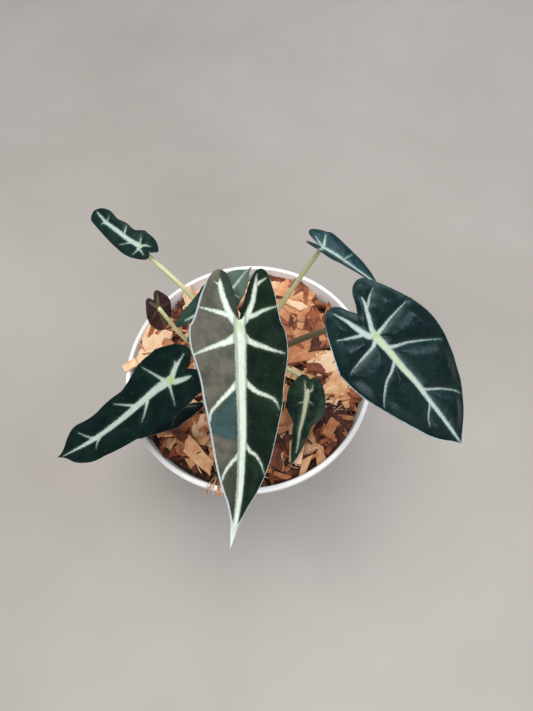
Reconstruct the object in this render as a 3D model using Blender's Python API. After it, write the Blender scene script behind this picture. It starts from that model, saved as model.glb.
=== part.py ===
"""Potted alocasia: a white plastic pot of coarse potting mix, a short crown and nine
arrow-shaped leaves on thin stalks, with husk chips lying on the mix.

Metres, +Z up. The origin is the centre of the pot's underside. -Y is the plant's front.
"""
import math
import random
from dataclasses import dataclass

import bmesh
import bpy
from mathutils import Euler, Vector

MM = 0.001

# The pot.
POT_HEIGHT = 125 * MM
RIM_DIAMETER = 150 * MM
BASE_DIAMETER = 100 * MM
WALL = 1.5 * MM
FLOOR = 2.4 * MM
RIM_OVERHANG = 1.3 * MM      # how far the rim's collar stands out from the wall
COLLAR_HEIGHT = 5 * MM
LIP_ROUND = 1.2 * MM         # radius of the rolled lip's outer edge
BASE_CHAMFER = 1.2 * MM
DRAIN_DIAMETER = 9 * MM
DRAIN_COUNT = 8
DRAIN_INSET = 15 * MM        # from the edge of the base to a drain hole's centre
POT_SEGMENTS = 56
DRAIN_SEGMENTS = 12

# The potting mix and the chips on it.
HEADSPACE = 13 * MM          # from the top of the rim down to the mix
CHIP_COUNT = 28
CHIP_LENGTH = 27 * MM
CHIP_WIDTH = 15 * MM
CHIP_THICKNESS = 4 * MM
CHIP_SPREAD = 1.2            # the thickest chip, as a share of the usual one
CHIP_SLOPE = 0.15            # the steepest rise of a chip's top
CHIP_LENGTHS = (0.75, 1.1)   # the shortest and the longest chip, as shares of the usual one
CHIP_WIDTHS = (0.7, 1.1)
CHIP_TOP = 0.88              # how big a chip's top is next to its foot
# A chip's corners, as shares of its length and its width from its middle.
CHIP_CORNERS = ((-0.5, -0.36), (-0.38, -0.5), (0.42, -0.5), (0.5, 0.3), (0.3, 0.5),
                (-0.45, 0.42))
WALL_CUTS = 9                # straight cuts that follow the wall around a chip's outer end
WALL_CUT_TURN = 0.2          # radians between them
CHIP_SEED = 11

# The plant.
CROWN_CENTRE = (-4 * MM, 12 * MM)
CROWN_DIAMETER = 14 * MM
CROWN_HEIGHT = 14 * MM
CROWN_SEGMENTS = 16
# The crown's section between its foot and its top: shares of its radius and its height, with
# a narrow waist above each ring that an old leaf left.
CROWN_SECTION = ((1, 0), (0.95, 0.30), (1, 0.38), (0.86, 0.62), (0.88, 0.72), (0.50, 0.95))
BLADE_THICKNESS = 0.7 * MM
SHEATH_SWELL = 1.35          # a stalk's base is this much thicker than its middle
STALK_TAPER = 0.85           # a stalk's top is this much thinner than its middle
GAP = 0.3 * MM               # between pieces that touch
WELD = 0.02 * MM             # corners closer than this are one

MIX_TOP = POT_HEIGHT - HEADSPACE
CROWN_RING_START = 90        # degrees, where the first stalk stands around the crown


# Half blade outlines, from the tip round the end of a lobe to the bottom of the notch between
# the lobes. A point is (share of the length in front of the stalk, or of the lobe's length
# behind it when negative; share of the half width). A form is a left and a right outline.
ARROW_EDGE = ((1, 0), (0.94, 0.05), (0.88, 0.10), (0.80, 0.23), (0.72, 0.40), (0.60, 0.58),
              (0.48, 0.69), (0.35, 0.81), (0.25, 0.87), (0.12, 0.99), (0.04, 1.0),
              (-0.05, 0.92), (-0.25, 0.85), (-0.52, 0.77), (-0.82, 0.64), (-0.96, 0.53),
              (-1, 0.42), (-0.94, 0.29), (-0.74, 0.18), (-0.45, 0.08), (-0.13, 0))
HEART_EDGE = ((1, 0), (0.93, 0.14), (0.85, 0.33), (0.76, 0.50), (0.66, 0.63), (0.47, 0.83),
              (0.28, 0.97), (0.12, 1.0), (-0.10, 0.92), (-0.50, 0.75), (-0.88, 0.55),
              (-0.98, 0.45), (-1, 0.35), (-0.96, 0.24), (-0.86, 0.15), (-0.70, 0.08), (-0.56, 0))
STRAP_LEFT = ((1, 0), (0.965, 0.07), (0.92, 0.20), (0.85, 0.48), (0.77, 0.66), (0.69, 0.76),
              (0.61, 0.78), (0.52, 0.82), (0.36, 0.86), (0.22, 0.92), (0.06, 1.0),
              (-0.28, 0.93), (-0.68, 0.78), (-0.93, 0.58), (-1, 0.42), (-0.94, 0.27),
              (-0.80, 0.12), (-0.62, 0))
STRAP_RIGHT = ((1, 0), (0.965, 0.06), (0.93, 0.20), (0.89, 0.42), (0.84, 0.62), (0.79, 0.69),
               (0.70, 0.66), (0.60, 0.68), (0.51, 0.76), (0.43, 0.77), (0.36, 0.76),
               (0.30, 0.84), (0.22, 0.99), (0.135, 1.08), (0.03, 1.05), (-0.28, 0.96),
               (-0.68, 0.79), (-0.93, 0.58), (-1, 0.42), (-0.94, 0.27), (-0.80, 0.12),
               (-0.62, 0))
WAVY_LEFT = ((1, 0), (0.99, 0.25), (0.95, 0.42), (0.85, 0.52), (0.72, 0.63), (0.58, 0.75),
             (0.40, 0.88), (0.22, 0.98), (0.06, 1.05), (-0.30, 1.0), (-0.70, 0.82),
             (-0.93, 0.60), (-1, 0.42), (-0.94, 0.27), (-0.84, 0.12), (-0.72, 0))
WAVY_RIGHT = ((1, 0), (0.99, 0.25), (0.95, 0.48), (0.89, 0.70), (0.81, 0.83), (0.73, 0.86),
              (0.65, 0.78), (0.57, 0.70), (0.49, 0.76), (0.41, 0.80), (0.32, 0.745),
              (0.25, 0.75), (0.19, 0.94), (0.13, 1.11), (0.05, 1.09), (-0.20, 1.06),
              (-0.52, 0.92), (-0.88, 0.62), (-1, 0.42), (-0.94, 0.27), (-0.84, 0.12),
              (-0.72, 0))
DART_EDGE = ((1, 0), (0.93, 0.10), (0.85, 0.19), (0.72, 0.30), (0.62, 0.37), (0.53, 0.44),
             (0.45, 0.47), (0.39, 0.58), (0.34, 0.77), (0.27, 0.93), (0.20, 0.99), (0.10, 1.0),
             (0, 0.94), (-0.30, 0.82), (-0.65, 0.66), (-0.92, 0.48), (-1, 0.32), (-0.95, 0.15),
             (-0.80, 0))
ARROW = (ARROW_EDGE, ARROW_EDGE)
HEART = (HEART_EDGE, HEART_EDGE)
STRAP = (STRAP_LEFT, STRAP_RIGHT)
WAVY = (WAVY_LEFT, WAVY_RIGHT)
DART = (DART_EDGE, DART_EDGE)
LOBE_VEIN = ((0, 0), (-0.35, 0.16), (-0.78, 0.34))


@dataclass
class Leaf:
    """One leaf: where its blade meets its stalk, how the blade lies and how big it is."""
    name: str
    form: tuple            # the left and the right half's outline
    rise: tuple            # mm, from the crown's foot to the blade's stalk
    heading: float         # degrees, the way the tip points, from +X towards +Y
    dip: float             # degrees, how far the tip points down
    roll: float            # degrees, positive lifts the left side
    length: float          # mm, stalk to tip
    half_width: float      # mm
    lobe: float            # mm, stalk to the end of a lobe
    stalk: float           # mm, diameter
    bend: float = 0        # degrees, how much further down the tip points than the stalk end
    twist: float = 0       # degrees, extra roll at the tip
    bow: float = 0         # mm, sideways bow of the midrib, positive to the left
    fold: float = 0        # degrees, how far each side stands up from flat
    lean: float = 0        # degrees from upright, how the stalk sets off towards its blade
    neck: float = 0        # degrees, how much the stalk's top points towards the tip
    out: float = 0.40      # reach of the stalk's lower and upper curve handles, as shares
    over: float = 0.30     # of its span


# In the order they stand around the crown.
LEAVES = (
    Leaf("behind", ARROW, (-10, 5.5, 60), 49, 14, 42, 44, 12, 24, 2.6, bend=16,
         lean=5, neck=20, over=0.25),
    Leaf("back_left", WAVY, (-45, 37.5, 78), 134, 5, 4, 40.5, 8.4, 10.7, 2.6, twist=-40,
         lean=10, neck=50, out=0.65, over=0.10),
    Leaf("upright", HEART, (-38.7, 6, 66), 141, 92, 6, 32, 8.4, 11, 2.4, bend=-19,
         lean=45, neck=-60, out=0.50, over=0.35),
    Leaf("left", STRAP, (-30.4, -41.7, 76), 197.5, 27, -7, 78.5, 16.5, 16.5, 3.0, bend=-2,
         twist=16, bow=2.6, fold=5, lean=25, neck=30),
    Leaf("under_left", ARROW, (-32.5, -42, 40), 188, 28, 13, 51, 12, 14.5, 2.6, bend=10,
         lean=35, neck=40),
    Leaf("front", ARROW, (5.7, -31.8, 103), -99.5, 23, 13, 97, 22.5, 25, 3.4, bow=4.8,
         fold=14, lean=10, neck=20),
    Leaf("young", DART, (36, -41, 38), -112, 39, 0, 45.5, 10.8, 9, 2.2, bend=1, bow=1.3,
         lean=15, neck=20),
    Leaf("right", HEART, (66.3, -39.1, 93), -45.5, 36, 6.5, 77, 26.2, 24.6, 3.2, bend=7,
         bow=3.6, lean=37, neck=30, out=0.42, over=0.25),
    Leaf("back_right", ARROW, (51.5, 19.5, 83), -23, 31, -13, 45, 9.1, 10.5, 2.6, bend=8,
         twist=-12, fold=26, lean=33, out=0.30, over=0.10),
)

BLADE_ROWS = 15
LOBE_ROWS = 6
OUTER_COLUMNS = 4
INNER_COLUMNS = 2
STALK_STEPS = 14


def clear_scene():
    for thing in list(bpy.data.objects):
        bpy.data.objects.remove(thing, do_unlink=True)


def material(name, colour, roughness, metallic=0.0):
    made = bpy.data.materials.new(name)
    made.use_nodes = True
    shader = made.node_tree.nodes["Principled BSDF"]
    shader.inputs["Base Color"].default_value = (*colour, 1)
    shader.inputs["Roughness"].default_value = roughness
    shader.inputs["Metallic"].default_value = metallic
    return made


def add_object(name, data, mat):
    made = bpy.data.objects.new(name, data)
    bpy.context.scene.collection.objects.link(made)
    made.data.materials.append(mat)
    return made


def mesh_object(name, bm, mat, smooth_angle=35):
    bmesh.ops.recalc_face_normals(bm, faces=bm.faces)
    mesh = bpy.data.meshes.new(name)
    bm.to_mesh(mesh)
    bm.free()
    mesh.shade_smooth()
    mesh.set_sharp_from_angle(angle=math.radians(smooth_angle))
    return add_object(name, mesh, mat)


def turned(name, profile, segments, mat):
    """A closed solid of revolution. The profile starts and ends on the axis."""
    bm = bmesh.new()
    rings = []
    for radius, height in profile:
        if radius == 0:
            rings.append([bm.verts.new((0, 0, height))] * segments)
            continue
        angles = [math.tau * k / segments for k in range(segments)]
        rings.append([bm.verts.new((radius * math.cos(a), radius * math.sin(a), height))
                      for a in angles])
    for low, high in zip(rings, rings[1:]):
        for k in range(segments):
            corners = [low[k], low[(k + 1) % segments], high[(k + 1) % segments], high[k]]
            bm.faces.new(list(dict.fromkeys(corners)))
    return mesh_object(name, bm, mat)


# ---------------------------------------------------------------- pot and mix

def wall_radius(height):
    """Outer radius of the pot's plain wall, which leans straight out to the collar's foot."""
    top = RIM_DIAMETER / 2 - RIM_OVERHANG
    foot = BASE_DIAMETER / 2
    return foot + (top - foot) * height / POT_HEIGHT


def pot_profile():
    collar_foot = POT_HEIGHT - COLLAR_HEIGHT
    rim = RIM_DIAMETER / 2
    outside = [(0, 0), (BASE_DIAMETER / 2 - BASE_CHAMFER, 0),
               (wall_radius(BASE_CHAMFER), BASE_CHAMFER),
               (wall_radius(collar_foot), collar_foot),
               (rim - LIP_ROUND / 2, collar_foot + RIM_OVERHANG / 2)]
    lip_centre = (rim - LIP_ROUND, POT_HEIGHT - LIP_ROUND)
    lip = [(lip_centre[0] + LIP_ROUND * math.cos(math.radians(a)),
            lip_centre[1] + LIP_ROUND * math.sin(math.radians(a))) for a in (0, 45, 90)]
    inner_lip = wall_radius(POT_HEIGHT) - WALL
    inside = [(inner_lip + LIP_ROUND, POT_HEIGHT),
              (inner_lip, POT_HEIGHT - LIP_ROUND),
              (wall_radius(FLOOR) - WALL, FLOOR), (0, FLOOR)]
    return outside + lip + inside


def make_pot(mat):
    pot = turned("pot", pot_profile(), POT_SEGMENTS, mat)
    ring = BASE_DIAMETER / 2 - DRAIN_INSET
    bm = bmesh.new()
    for k in range(DRAIN_COUNT):
        angle = math.tau * (k + 0.5) / DRAIN_COUNT
        made = bmesh.ops.create_cone(bm, cap_ends=True, segments=DRAIN_SEGMENTS,
                                     radius1=DRAIN_DIAMETER / 2, radius2=DRAIN_DIAMETER / 2,
                                     depth=2 * FLOOR)
        place = Vector((ring * math.cos(angle), ring * math.sin(angle), FLOOR / 2))
        bmesh.ops.translate(bm, verts=made["verts"], vec=place)
    drains = mesh_object("drain_cutter", bm, mat)
    drains.hide_render = True
    drains.display_type = "WIRE"
    cut = pot.modifiers.new("drain holes", "BOOLEAN")
    cut.operation = "DIFFERENCE"
    cut.solver = "EXACT"
    cut.object = drains
    return pot


def mix_radius(height):
    return wall_radius(height) - WALL - GAP


def make_mix(mat):
    foot = FLOOR + GAP
    profile = [(0, foot), (mix_radius(foot), foot), (mix_radius(MIX_TOP), MIX_TOP),
               (mix_radius(MIX_TOP) / 2, MIX_TOP), (0, MIX_TOP)]
    return turned("potting_mix", profile, POT_SEGMENTS, mat)


# ---------------------------------------------------------------- chips

def clip(polygon, point, normal):
    """The part of a flat polygon on the far side of a line from the way normal points."""
    kept = []
    for a, b in zip(polygon, polygon[1:] + polygon[:1]):
        side_a = (a - point).dot(normal)
        side_b = (b - point).dot(normal)
        if side_a <= 0:
            kept.append(a)
        if (side_a < 0) != (side_b < 0) and side_a != side_b:
            kept.append(a.lerp(b, side_a / (side_a - side_b)))
    return kept


def chip_sites(clear_radius):
    """A sunflower pattern between the stalks and the pot's wall, seen from the crown."""
    crown = Vector(CROWN_CENTRE)
    wall = mix_radius(MIX_TOP) - GAP
    golden = math.pi * (3 - math.sqrt(5))
    sites = []
    for k in range(CHIP_COUNT):
        way = Vector((math.cos(k * golden), math.sin(k * golden)))
        along = crown.dot(way)
        to_wall = -along + math.sqrt(along * along + wall * wall - crown.length_squared)
        room = to_wall - clear_radius - CHIP_WIDTH
        share = math.sqrt((k + 0.5) / CHIP_COUNT)
        sites.append(crown + way * (clear_radius + CHIP_WIDTH / 2 + room * share))
    return sites


def chip_outline(site, sites, clear_radius, dice):
    """A slanting rectangle, cut back where it meets its neighbours, the wall or the stalks."""
    length = CHIP_LENGTH * dice.uniform(*CHIP_LENGTHS)
    width = CHIP_WIDTH * dice.uniform(*CHIP_WIDTHS)
    turn = dice.uniform(0, math.pi)
    along = Vector((math.cos(turn), math.sin(turn)))
    across = Vector((-along.y, along.x))
    shape = [site + along * length * u + across * width * v for u, v in CHIP_CORNERS]
    for other in sites:
        if other is not site:
            away = (other - site).normalized()
            shape = clip(shape, (other + site) / 2 - away * GAP, away)
    crown = Vector(CROWN_CENTRE)
    inward = (crown - site).normalized()
    shape = clip(shape, crown - inward * clear_radius, inward)
    wall = mix_radius(MIX_TOP) - GAP
    facing = math.atan2(site.y, site.x)
    for cut in range(WALL_CUTS):
        turn = facing + WALL_CUT_TURN * (cut - WALL_CUTS // 2)
        away = Vector((math.cos(turn), math.sin(turn)))
        shape = clip(shape, away * wall * math.cos(WALL_CUT_TURN / 2), away)
    return shape


def make_chips(mat, clear_radius):
    dice = random.Random(CHIP_SEED)
    sites = chip_sites(clear_radius)
    for number, site in enumerate(sites, start=1):
        shape = chip_outline(site, sites, clear_radius, dice)
        slope = Vector([dice.uniform(-CHIP_SLOPE, CHIP_SLOPE) / 2 for _ in range(2)])
        thickness = CHIP_THICKNESS * dice.uniform(2 - CHIP_SPREAD, CHIP_SPREAD)
        middle = sum(shape, Vector((0, 0))) / len(shape)
        bm = bmesh.new()
        foot = [bm.verts.new((p.x - site.x, p.y - site.y, 0)) for p in shape]
        top = []
        for p in shape:
            q = middle.lerp(p, CHIP_TOP)
            top.append(bm.verts.new((q.x - site.x, q.y - site.y,
                                     thickness + slope.dot(q - middle))))
        bm.faces.new(foot)
        bm.faces.new(top)
        for k in range(len(shape)):
            after = (k + 1) % len(shape)
            bm.faces.new((foot[k], foot[after], top[after], top[k]))
        bmesh.ops.remove_doubles(bm, verts=bm.verts, dist=WELD)
        bmesh.ops.triangulate(bm, faces=bm.faces)
        chip = mesh_object(f"husk_chip_{number:02d}", bm, mat)
        chip.location = (site.x, site.y, MIX_TOP + GAP)


# ---------------------------------------------------------------- plant

def spline(points, start, end, count):
    """Points on a smooth curve through the given ones (Catmull-Rom), evenly stepped from one
    given point's number to another's."""
    points = [Vector(p) for p in points]
    points = [2 * points[0] - points[1], *points, 2 * points[-1] - points[-2]]
    made = []
    for step in range(count):
        place = start + (end - start) * step / (count - 1)
        k = min(int(place), len(points) - 4)
        u = place - k
        a, b, c, d = points[k:k + 4]
        made.append(0.5 * (2 * b + (c - a) * u + (2 * a - 5 * b + 4 * c - d) * u ** 2
                           + (3 * b - a - 3 * c + d) * u ** 3))
    return made


def blade_point(leaf, forward, side):
    """A flat blade point (metres forward of the stalk, metres to the left) on the bent,
    twisted and folded blade, in the leaf's own axes: X to the tip, Y left, Z up."""
    length = leaf.length * MM
    share = max(forward / length, -0.5)
    angle = math.radians(leaf.bend) * share
    if leaf.bend:
        curve = math.radians(leaf.bend) / length
        centre = Vector((math.sin(curve * forward), 0, math.cos(curve * forward) - 1)) / curve
    else:
        centre = Vector((forward, 0, 0))
    if forward > 0:
        side += 4 * leaf.bow * MM * share * (1 - share)
    lift = math.tan(math.radians(leaf.fold)) * abs(side)
    turn = math.radians(leaf.twist) * share
    up = Vector((math.sin(angle), 0, math.cos(angle)))
    left = Vector((0, 1, 0))
    across = left * math.cos(turn) + up * math.sin(turn)
    above = up * math.cos(turn) - left * math.sin(turn)
    return centre + across * side + above * lift


def flat_point(leaf, point, side):
    forward = point[0] * MM * (leaf.length if point[0] > 0 else leaf.lobe)
    return Vector((forward, side * point[1] * leaf.half_width * MM))


def blade_strips(leaf, side):
    """Half a blade as two strips of rows: midrib and lobe vein out to the margin, and lobe
    vein in to the notch. Each row is a list of flat points."""
    outline = leaf.form[0 if side > 0 else 1]
    last = len(outline) - 1
    lobe_end = min(range(last), key=lambda k: outline[k][0])
    margin = spline(outline, 0, lobe_end, BLADE_ROWS + LOBE_ROWS)
    notch = spline(outline, lobe_end, last, LOBE_ROWS + 1)
    vein = spline((*LOBE_VEIN, outline[lobe_end]), 0, len(LOBE_VEIN), LOBE_ROWS + 1)
    axis = [Vector((margin[0].x * (1 - k / (BLADE_ROWS - 1)), 0)) for k in range(BLADE_ROWS)]
    axis += vein[1:]
    outer = []
    for start, end in zip(axis, margin):
        row = [start.lerp(end, k / OUTER_COLUMNS) for k in range(OUTER_COLUMNS + 1)]
        outer.append([flat_point(leaf, p, side) for p in row])
    inner = []
    for start, end in zip(vein, reversed(notch)):
        row = [start.lerp(end, k / INNER_COLUMNS) for k in range(INNER_COLUMNS + 1)]
        inner.append([flat_point(leaf, p, side) for p in row])
    return outer, inner


def make_blade(leaf, mat):
    bm = bmesh.new()
    for side in (1, -1):
        for strip in blade_strips(leaf, side):
            rows = [[bm.verts.new(blade_point(leaf, p.x, p.y)) for p in row] for row in strip]
            for row, after in zip(rows, rows[1:]):
                for k in range(len(row) - 1):
                    bm.faces.new((row[k], row[k + 1], after[k + 1], after[k]))
    bmesh.ops.remove_doubles(bm, verts=bm.verts, dist=WELD)
    bmesh.ops.dissolve_degenerate(bm, edges=bm.edges, dist=WELD)
    bmesh.ops.recalc_face_normals(bm, faces=bm.faces)
    if sum(face.normal.z * face.calc_area() for face in bm.faces) < 0:
        bmesh.ops.reverse_faces(bm, faces=bm.faces)
    mesh = bpy.data.meshes.new("blade_" + leaf.name)
    bm.to_mesh(mesh)
    bm.free()
    mesh.shade_smooth()
    blade = add_object("blade_" + leaf.name, mesh, mat)
    blade.location = blade_place(leaf)
    blade.rotation_euler = blade_turn(leaf)
    skin = blade.modifiers.new("thickness", "SOLIDIFY")
    skin.thickness = BLADE_THICKNESS
    skin.offset = -1
    return blade


def crown_foot():
    return Vector((*CROWN_CENTRE, MIX_TOP))


def blade_place(leaf):
    return crown_foot() + Vector(leaf.rise) * MM


def blade_turn(leaf):
    return (math.radians(leaf.roll), math.radians(leaf.dip), math.radians(leaf.heading))


def foot_ring(leaf):
    """How far from the crown's middle a stalk stands: a gap away from the crown."""
    return CROWN_DIAMETER / 2 + GAP + leaf.stalk * MM * SHEATH_SWELL / 2


def stalk_foot(number, leaf):
    """Where a stalk stands on the mix: evenly around the crown, its tilted end just clear."""
    angle = math.radians(CROWN_RING_START) + math.tau * number / len(LEAVES)
    raised = GAP + leaf.stalk * MM * SHEATH_SWELL / 2 * math.sin(math.radians(leaf.lean))
    ring = foot_ring(leaf)
    return crown_foot() + Vector((ring * math.cos(angle), ring * math.sin(angle), raised))


def make_stalk(number, leaf, mat):
    """A tapering stalk that leans out of the mix and ends just under the blade."""
    foot = stalk_foot(number, leaf)
    turn = Euler(blade_turn(leaf)).to_matrix()
    up = turn @ Vector((0, 0, 1))
    neck = math.radians(leaf.neck)
    arrival = turn @ Vector((math.sin(neck), 0, math.cos(neck)))
    corner = leaf.stalk * MM * STALK_TAPER / 2 * abs(math.sin(neck))
    top = blade_place(leaf) - up * (BLADE_THICKNESS + GAP + corner)
    level = Vector((top.x - foot.x, top.y - foot.y, 0)).normalized()
    lean = math.radians(leaf.lean)
    start = level * math.sin(lean) + Vector((0, 0, math.cos(lean)))
    span = (top - foot).length
    curve = bpy.data.curves.new("petiole_" + leaf.name, "CURVE")
    curve.dimensions = "3D"
    curve.bevel_depth = leaf.stalk * MM / 2
    curve.bevel_resolution = 2
    curve.use_fill_caps = True
    line = curve.splines.new("BEZIER")
    line.resolution_u = STALK_STEPS
    line.bezier_points.add(1)
    low, high = line.bezier_points
    low.co = (0, 0, 0)
    low.handle_left = -start * leaf.out * span
    low.handle_right = start * leaf.out * span
    low.radius = SHEATH_SWELL
    high.co = top - foot
    high.handle_left = top - foot - arrival * leaf.over * span
    high.handle_right = top - foot + arrival * leaf.over * span
    high.radius = STALK_TAPER
    stalk = add_object("petiole_" + leaf.name, curve, mat)
    stalk.location = foot
    return stalk


def make_crown(mat):
    section = [(CROWN_DIAMETER / 2 * wide, CROWN_HEIGHT * high) for wide, high in CROWN_SECTION]
    profile = [(0, 0), *section, (0, CROWN_HEIGHT)]
    crown = turned("crown", profile, CROWN_SEGMENTS, mat)
    crown.location = crown_foot() + Vector((0, 0, GAP))
    return crown


def main():
    clear_scene()
    plastic = material("pot_plastic", (0.80, 0.79, 0.78), 0.35)
    soil = material("mix", (0.16, 0.07, 0.035), 0.9)
    husk = material("husk", (0.52, 0.27, 0.14), 0.85)
    stem = material("crown_skin", (0.30, 0.24, 0.12), 0.7)
    stalk = material("petiole_skin", (0.52, 0.55, 0.28), 0.45)
    blade = material("blade_skin", (0.012, 0.035, 0.028), 0.35)
    make_pot(plastic)
    make_mix(soil)
    make_crown(stem)
    for number, leaf in enumerate(LEAVES):
        make_blade(leaf, blade)
        make_stalk(number, leaf, stalk)
    # Leaning stalks have to be above the chips where the chips begin.
    tallest_chip = (CHIP_THICKNESS + CHIP_LENGTH * CHIP_SLOPE) * CHIP_SPREAD
    thickest = max(leaf.stalk for leaf in LEAVES) * MM * SHEATH_SWELL
    clearing = max(foot_ring(leaf) for leaf in LEAVES) + tallest_chip + thickest
    make_chips(husk, clearing)


main()
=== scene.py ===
"""The looks of the potted alocasia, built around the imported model.

Metres, +Z up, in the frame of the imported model. The leaf tables are in millimetres, degrees
and percent.
"""
import math
import random
from dataclasses import dataclass
from itertools import product

import bmesh
import bpy
import numpy as np
from mathutils import Euler, Matrix, Quaternion, Vector, noise


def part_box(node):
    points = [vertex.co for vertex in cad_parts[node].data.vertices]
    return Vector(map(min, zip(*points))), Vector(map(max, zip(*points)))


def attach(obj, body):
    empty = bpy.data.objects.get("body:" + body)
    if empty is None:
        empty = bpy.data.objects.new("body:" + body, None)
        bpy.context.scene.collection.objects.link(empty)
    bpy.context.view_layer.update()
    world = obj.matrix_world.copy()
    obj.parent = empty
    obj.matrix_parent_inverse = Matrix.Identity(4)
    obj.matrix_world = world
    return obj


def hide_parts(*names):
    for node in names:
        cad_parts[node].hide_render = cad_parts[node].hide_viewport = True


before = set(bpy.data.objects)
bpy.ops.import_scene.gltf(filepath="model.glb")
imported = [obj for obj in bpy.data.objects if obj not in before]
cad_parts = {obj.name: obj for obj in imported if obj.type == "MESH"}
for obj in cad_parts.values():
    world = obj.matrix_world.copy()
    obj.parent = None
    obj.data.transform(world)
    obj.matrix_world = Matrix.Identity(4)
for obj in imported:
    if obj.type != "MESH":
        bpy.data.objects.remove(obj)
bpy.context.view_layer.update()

MM = 0.001
BODY = "root"
GAP = 0.3 * MM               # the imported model's gap between pieces that touch
CAD_BLADE = 0.7              # mm, how thick its blades are

pot_low, pot_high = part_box("pot")
mix_low, mix_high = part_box("potting_mix")
crown_low, crown_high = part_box("crown")
RIM_RADIUS = (pot_high.x - pot_low.x) / 2
RIM_TOP = pot_high.z
MIX_TOP = mix_high.z
MIX_RADIUS = (mix_high.x - mix_low.x) / 2
CROWN_RADIUS = (crown_high.x - crown_low.x) / 2
CROWN_FOOT = Vector(((crown_low.x + crown_high.x) / 2, (crown_low.y + crown_high.y) / 2,
                     crown_low.z - GAP))


# ------------------------------------------------------------------ camera, floor and light

CAMERA_TARGET = (0.0818, 0.0467)     # rim diameters from the rim's centre
CAMERA_DISTANCE = 2.187              # rim diameters
CAMERA_ELEVATION = 64.75             # degrees above the horizon
CAMERA_ROLL = -6.5                   # degrees
CAMERA_LENS = 27.04                  # mm on a 36 mm sensor


def make_camera():
    rim = 2 * RIM_RADIUS
    elevation = math.radians(CAMERA_ELEVATION)
    back = Vector((0, -math.cos(elevation), math.sin(elevation)))
    level = Vector((1, 0, 0))
    up = back.cross(level)
    roll = math.radians(CAMERA_ROLL)
    right = level * math.cos(roll) + up * math.sin(roll)
    top = up * math.cos(roll) - level * math.sin(roll)
    target = Vector((CAMERA_TARGET[0] * rim, CAMERA_TARGET[1] * rim, RIM_TOP))
    lens = bpy.data.cameras.new("camera")
    lens.lens = CAMERA_LENS
    lens.sensor_width = 36
    lens.clip_start = 0.01
    lens.clip_end = 50
    camera = bpy.data.objects.new("camera", lens)
    bpy.context.scene.collection.objects.link(camera)
    turn = Matrix((right, top, back)).transposed()
    camera.matrix_world = Matrix.Translation(target + back * CAMERA_DISTANCE * rim) @ turn.to_4x4()
    bpy.context.scene.camera = camera


# Name, place in metres, height it is aimed at over the pot's middle, size, power and colour.
LAMPS = (("sky_panel", (0.0, 0.2, 1.6), RIM_TOP, 1.2, 21, (1.0, 0.985, 0.96)),
         ("sheen_panel", (-0.26, -0.60, 1.25), RIM_TOP, 0.6, 3.2, (1.0, 0.94, 0.86)),
         ("blue_panel", (1.02, -0.19, 1.02), RIM_TOP, 0.5, 4.0, (0.84, 0.92, 1.0)),
         ("front_fill", (0.1, -1.5, 0.45), 0.08, 0.9, 8, (1.0, 0.98, 0.97)))
SKY = (0.78, 0.90, 1.0, 1)
SKY_STRENGTH = 0.33
FLOOR_DARK = (0.355, 0.320, 0.292)
FLOOR_PALE = (0.430, 0.394, 0.364)


def make_light():
    bpy.context.scene.view_settings.view_transform = "Standard"
    for name, place, aim, size, power, colour in LAMPS:
        lamp = bpy.data.lights.new(name, "AREA")
        lamp.shape = "DISK"
        lamp.size = size
        lamp.energy = power
        lamp.color = colour
        light = bpy.data.objects.new(name, lamp)
        light.location = place
        facing = Vector((0, 0, aim)) - Vector(place)
        light.rotation_euler = facing.to_track_quat("-Z", "Y").to_euler()
        bpy.context.scene.collection.objects.link(light)
    world = bpy.data.worlds.new("studio")
    bpy.context.scene.world = world
    world.use_nodes = True
    shade = world.node_tree.nodes["Background"]
    shade.inputs["Color"].default_value = SKY
    shade.inputs["Strength"].default_value = SKY_STRENGTH


def make_floor():
    bm = bmesh.new()
    bmesh.ops.create_grid(bm, x_segments=1, y_segments=1, size=12)
    floor = new_object("floor", bm)
    paint = Paint("floor_plain")
    cloud = paint.noise(paint.point(1), 2.2, 4, 0.6)
    paint.surface("Base Color", paint.ramp(cloud, ((0.35, FLOOR_DARK), (0.65, FLOOR_PALE))))
    paint.surface("Roughness", 0.8)
    floor.data.materials.append(paint.material)


# ------------------------------------------------------------------ small helpers

def new_object(name, bm_or_mesh):
    if isinstance(bm_or_mesh, bmesh.types.BMesh):
        mesh = bpy.data.meshes.new(name)
        bm_or_mesh.to_mesh(mesh)
        bm_or_mesh.free()
    else:
        mesh = bm_or_mesh
    made = bpy.data.objects.new(name, mesh)
    bpy.context.scene.collection.objects.link(made)
    return made


def array_object(name, points, faces, mats, face_mats=None):
    """A smooth mesh object from arrays, in metres."""
    mesh = bpy.data.meshes.new(name)
    mesh.from_pydata(np.asarray(points, float).tolist(), [], faces)
    for mat in mats:
        mesh.materials.append(mat)
    if face_mats is not None:
        mesh.polygons.foreach_set("material_index", np.asarray(face_mats, np.int32))
    mesh.shade_smooth()
    mesh.update()
    return new_object(name, mesh)


def add_floats(made, name, values):
    layer = made.data.attributes.new(name, "FLOAT", "POINT")
    layer.data.foreach_set("value", np.asarray(values, np.float32).ravel())


def add_vectors(made, name, values):
    layer = made.data.attributes.new(name, "FLOAT_VECTOR", "POINT")
    layer.data.foreach_set("vector", np.asarray(values, np.float32).ravel())


def smoothstep(low, high, value):
    share = np.clip((value - low) / (high - low), 0, 1)
    return share * share * (3 - 2 * share)


def spline(points, per_span):
    """A smooth curve through the points (Catmull-Rom), as an array."""
    points = np.asarray(points, float)
    points = np.vstack([2 * points[0] - points[1], points, 2 * points[-1] - points[-2]])
    made = []
    for a, b, c, d in zip(points, points[1:], points[2:], points[3:]):
        u = np.linspace(0, 1, per_span, endpoint=False)[:, None]
        made.append(0.5 * (2 * b + (c - a) * u + (2 * a - 5 * b + 4 * c - d) * u ** 2
                           + (3 * b - a - 3 * c + d) * u ** 3))
    return np.vstack([*made, points[-2]])


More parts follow.
